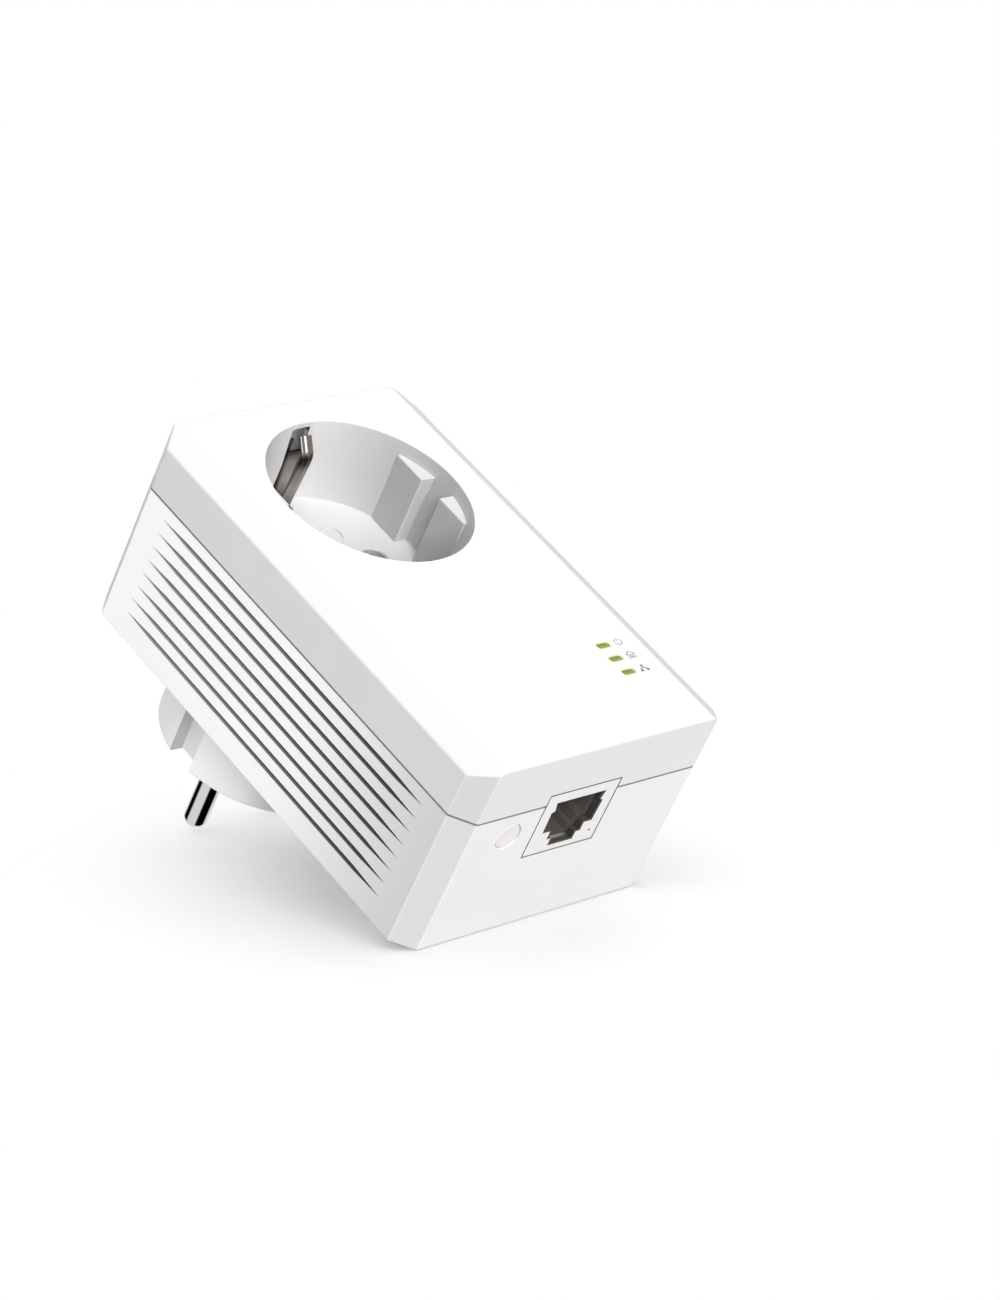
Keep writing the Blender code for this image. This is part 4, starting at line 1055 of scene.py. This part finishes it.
def arc_band(centre, radius, start, end, steps=24):
    """A printed arc, from one angle to another."""
    outer = arc(centre, (radius + ICON_LINE / 2,) * 2, start, end, steps)
    inner = arc(centre, (radius - ICON_LINE / 2,) * 2, end, start, steps)
    return prism(outer + inner, "Y", *INK)


def icons():
    """Generic signs beside the lights: power, home and network."""
    x, (power, home, network) = ICON_X, LIGHT_Z
    printed("icon_power", arc_band((x, power), 0.8, 125, 415), *bars(x, power, (0, 0.35, 0, 0.95)))
    house = bars(x, home, (-1.05, 0.1, 0, 0.95), (0, 0.95, 1.05, 0.1), (-0.7, 0.3, -0.7, -0.75),
                 (0.7, 0.3, 0.7, -0.75), (-0.7, -0.75, 0.7, -0.75))
    printed("icon_home", *house, arc_band((x, home - 0.2), 0.28, 0, 359))
    boxes = [(x, network + 0.6), (x - 0.75, network - 0.6), (x + 0.75, network - 0.6)]
    squares = [bar((cx - 0.12, cz), (cx + 0.12, cz), 0.5) for cx, cz in boxes]
    printed("icon_network", *squares, *bars(x, network, (0, 0.4, 0, 0), (-0.75, 0, 0.75, 0),
                                            (-0.75, -0.5, -0.75, 0), (0.75, -0.5, 0.75, 0)))


def housing_screws():
    """Pan-head screws with a cross recess."""
    for k, (x, z) in enumerate(BOSSES):
        node = f"housing_screw_{k + 1}"
        tip, top = limits(node)[1]
        seat = HEAD_SEAT + GAP
        edge = seat + HEAD_EDGE
        profile = [(0, tip), (1.3, tip + 1.6), (1.3, seat), (HEAD_RADIUS, seat), (HEAD_RADIUS, edge)]
        profile += arc((HEAD_RADIUS - 1.2, edge), (1.2, top - seat - HEAD_EDGE), 0, 90, 5)[1:]
        screw = solid(f"{node}_fine", turned(profile + [(0, top)], "Y", (x, z), 48))
        for wide, high in ((1.5, 0.28), (0.28, 1.5)):
            outlines = [rectangle((x - wide * share, x + wide * share), (z - high * share, z + high * share))
                        for share in (0.5, 1)]
            cut(screw, loft(outlines, "Y", [top - CROSS_DEPTH, top + 0.2]))
        piece(screw, ZINC, node)


def rear_label():
    """The rating label, a silver film with round corners and blank printed rows."""
    (x, y, z) = limits("rear_label")
    film = solid("rear_label_fine", prism(rounded_box(x, z, 1.2), "Y", *y))
    piece(film, LABEL, "rear_label")
    ink, start, row_pitch, full_row = (y[1] - 0.05, y[1] + 0.02), x[1] - 3.0, 3.4, 24.0
    rows = []
    for k, share in enumerate((0.9, 0.62, 0.78, 0.5, 0.84, 0.7)):
        level = z[1] - row_pitch - row_pitch * k
        rows.append(block((start - share * full_row, start), ink, (level - 0.45, level + 0.45)))
    printed("rear_label_rows", *rows)


def inner_finishes():
    """Materials for the CAD nodes inside the housing, whose shapes stay."""
    for node, made in frame["nodes"].items():
        finish = INNER_FINISHES.get(SLOT_OF[node])
        if finish:
            coat(made, finish)


# ---- stage ---------------------------------------------------------------------------------
PIN_END = limits("plug_pin_left")[1][1]
LEAN = Vector((0.0, PIN_END - REAR, -PIN_RADIUS - BOTTOM)).normalized()  # along the table, edge to pin
UP = Vector((1, 0, 0)).cross(LEAN)  # away from the table that the tilted adapter lies on
TABLE_POINT = Vector((0.0, REAR, BOTTOM)) * MM
TABLE_RADIUS = 0.34  # this and the two fades are in metres
FADE_START = 0.035
FADE_END = 0.135
AMBIENT = 0.47
IN_GLOSS = 0.85  # brightness of the surroundings in glossy surfaces
DARK_BANDS = [(Vector((-0.42, 0.55, 0.72)), 24), (Vector((0.14, 0.55, -0.82)), 34)]
BAND_EDGE = 0.05


def table():
    """A pale table top that only the camera sees, fading out at its rim."""
    made = placed("table", bpy.data.meshes.new("table"), UP)
    bm = bmesh.new()
    bmesh.ops.create_circle(bm, cap_ends=True, segments=96, radius=TABLE_RADIUS)
    bm.to_mesh(made.data)
    bm.free()
    made.location = TABLE_POINT
    for ray in ("diffuse", "glossy", "shadow", "transmission"):
        setattr(made, f"visible_{ray}", False)
    made.data.materials.append(table_finish())
    return made


def mix_shader(share, first, second):
    return add_node(share.id_data, "MixShader", {0: share, 1: first, 2: second}).outputs[0]


def table_finish():
    """Near-white paper that is clear at the rim and from below."""
    made, tree, shader = material("table_paper")
    feed(shader, {"Base Color": (0.95, 0.95, 0.955, 1), "Roughness": 0.9,
                  "Specular IOR Level": 0.0, "Emission Color": (1, 1, 1, 1),
                  "Emission Strength": 0.03})
    from_middle = vector("LENGTH", position(tree), output="Value")
    fade = ramp(from_middle, FADE_START, FADE_END, 0.0, 1.0)
    below = add_node(tree, "NewGeometry").outputs["Backfacing"]
    clear = add_node(tree, "BsdfTransparent").outputs[0]
    surface = mix_shader(arithmetic("MAXIMUM", fade, below), shader.outputs[0], clear)
    feed(tree.nodes["Material Output"], {"Surface": surface})
    return made


def background(tree, colour, strength):
    return add_node(tree, "Background", {"Color": colour, "Strength": strength}).outputs[0]


def studio_world():
    """White behind the object, soft light around it, and dark flags that only gloss shows."""
    world = bpy.data.worlds.new("studio")
    bpy.context.scene.world = world
    world.use_nodes = True
    tree = world.node_tree
    tree.nodes.clear()
    path = add_node(tree, "LightPath")
    white = (1, 1, 1, 1)
    soft = background(tree, white, AMBIENT)
    mirrored = background(tree, dark_flags(tree), IN_GLOSS)
    around = mix_shader(path.outputs["Is Glossy Ray"], soft, mirrored)
    seen = background(tree, white, 1.0)
    shown = mix_shader(path.outputs["Is Camera Ray"], around, seen)
    add_node(tree, "OutputWorld", {"Surface": shown})


def dark_flags(tree):
    """Brightness by direction: light all round, with two soft-edged dark flags."""
    place = position(tree, "Generated")
    brightness = 1.0
    for direction, spread in DARK_BANDS:
        towards = vector("DOT_PRODUCT", place, direction.normalized(), output="Value")
        edge = math.cos(math.radians(spread))
        lit = ramp(towards, edge - BAND_EDGE, edge + BAND_EDGE, 1.0, 0.0)
        brightness = arithmetic("MULTIPLY", lit, brightness)
    return brightness


def sun(name, energy, spread, direction):
    """A distant lamp on the side that the direction points to, with an angular size in degrees."""
    light = bpy.data.lights.new(name, "SUN")
    light.energy = energy
    light.angle = math.radians(spread)
    return placed(name, light, direction)


def lights(top):
    """A broad key from the lower left in front, a softer one from the upper left, and the table's own."""
    key = sun("key", 2.5, 35, Vector((-0.443, -0.674, -0.590)))
    side = sun("side", 0.62, 60, Vector((-0.85, 0.0, 0.53)))
    above = sun("above", 2.25, 160, UP + Vector((0.35, 0.0, 0.0)))
    for light, state in ((key, "EXCLUDE"), (side, "EXCLUDE"), (above, "INCLUDE")):
        chosen = bpy.data.collections.new(f"{light.name}_on_table")
        chosen.objects.link(top)
        chosen.collection_objects[0].light_linking.link_state = state
        light.light_linking.receiver_collection = chosen


def camera():
    """The viewing angle of the tilted adapter: from its lower left, in front of it."""
    view = bpy.data.cameras.new("camera")
    view.sensor_fit = "HORIZONTAL"
    view.sensor_width = 36.0
    view.lens = 136.05
    view.clip_start, view.clip_end = 0.01, 10.0
    made = placed("camera", view)
    ahead = Vector((0.68272, 0.55371, 0.47676)).normalized()
    up = Vector((0.16449, -0.75221, 0.63806))
    right = ahead.cross(up).normalized()
    up = right.cross(ahead)
    turn = Matrix((right, up, -ahead)).transposed()
    made.matrix_world = Matrix.Translation((-0.4692, -0.4402, -0.3698)) @ turn.to_4x4()
    bpy.context.scene.camera = made


camera()
studio_world()
lights(table())
bpy.context.scene.view_settings.view_transform = "Standard"

front_cover()
rear_housing()
socket_cup()
floor_marks()
earth_clips()
plug_base()
plug_pins()
plug_earth_strips()
jack_frame()
jack_shell()
jack_contacts()
pair_button()
light_guide()
icons()
housing_screws()
rear_label()
inner_finishes()
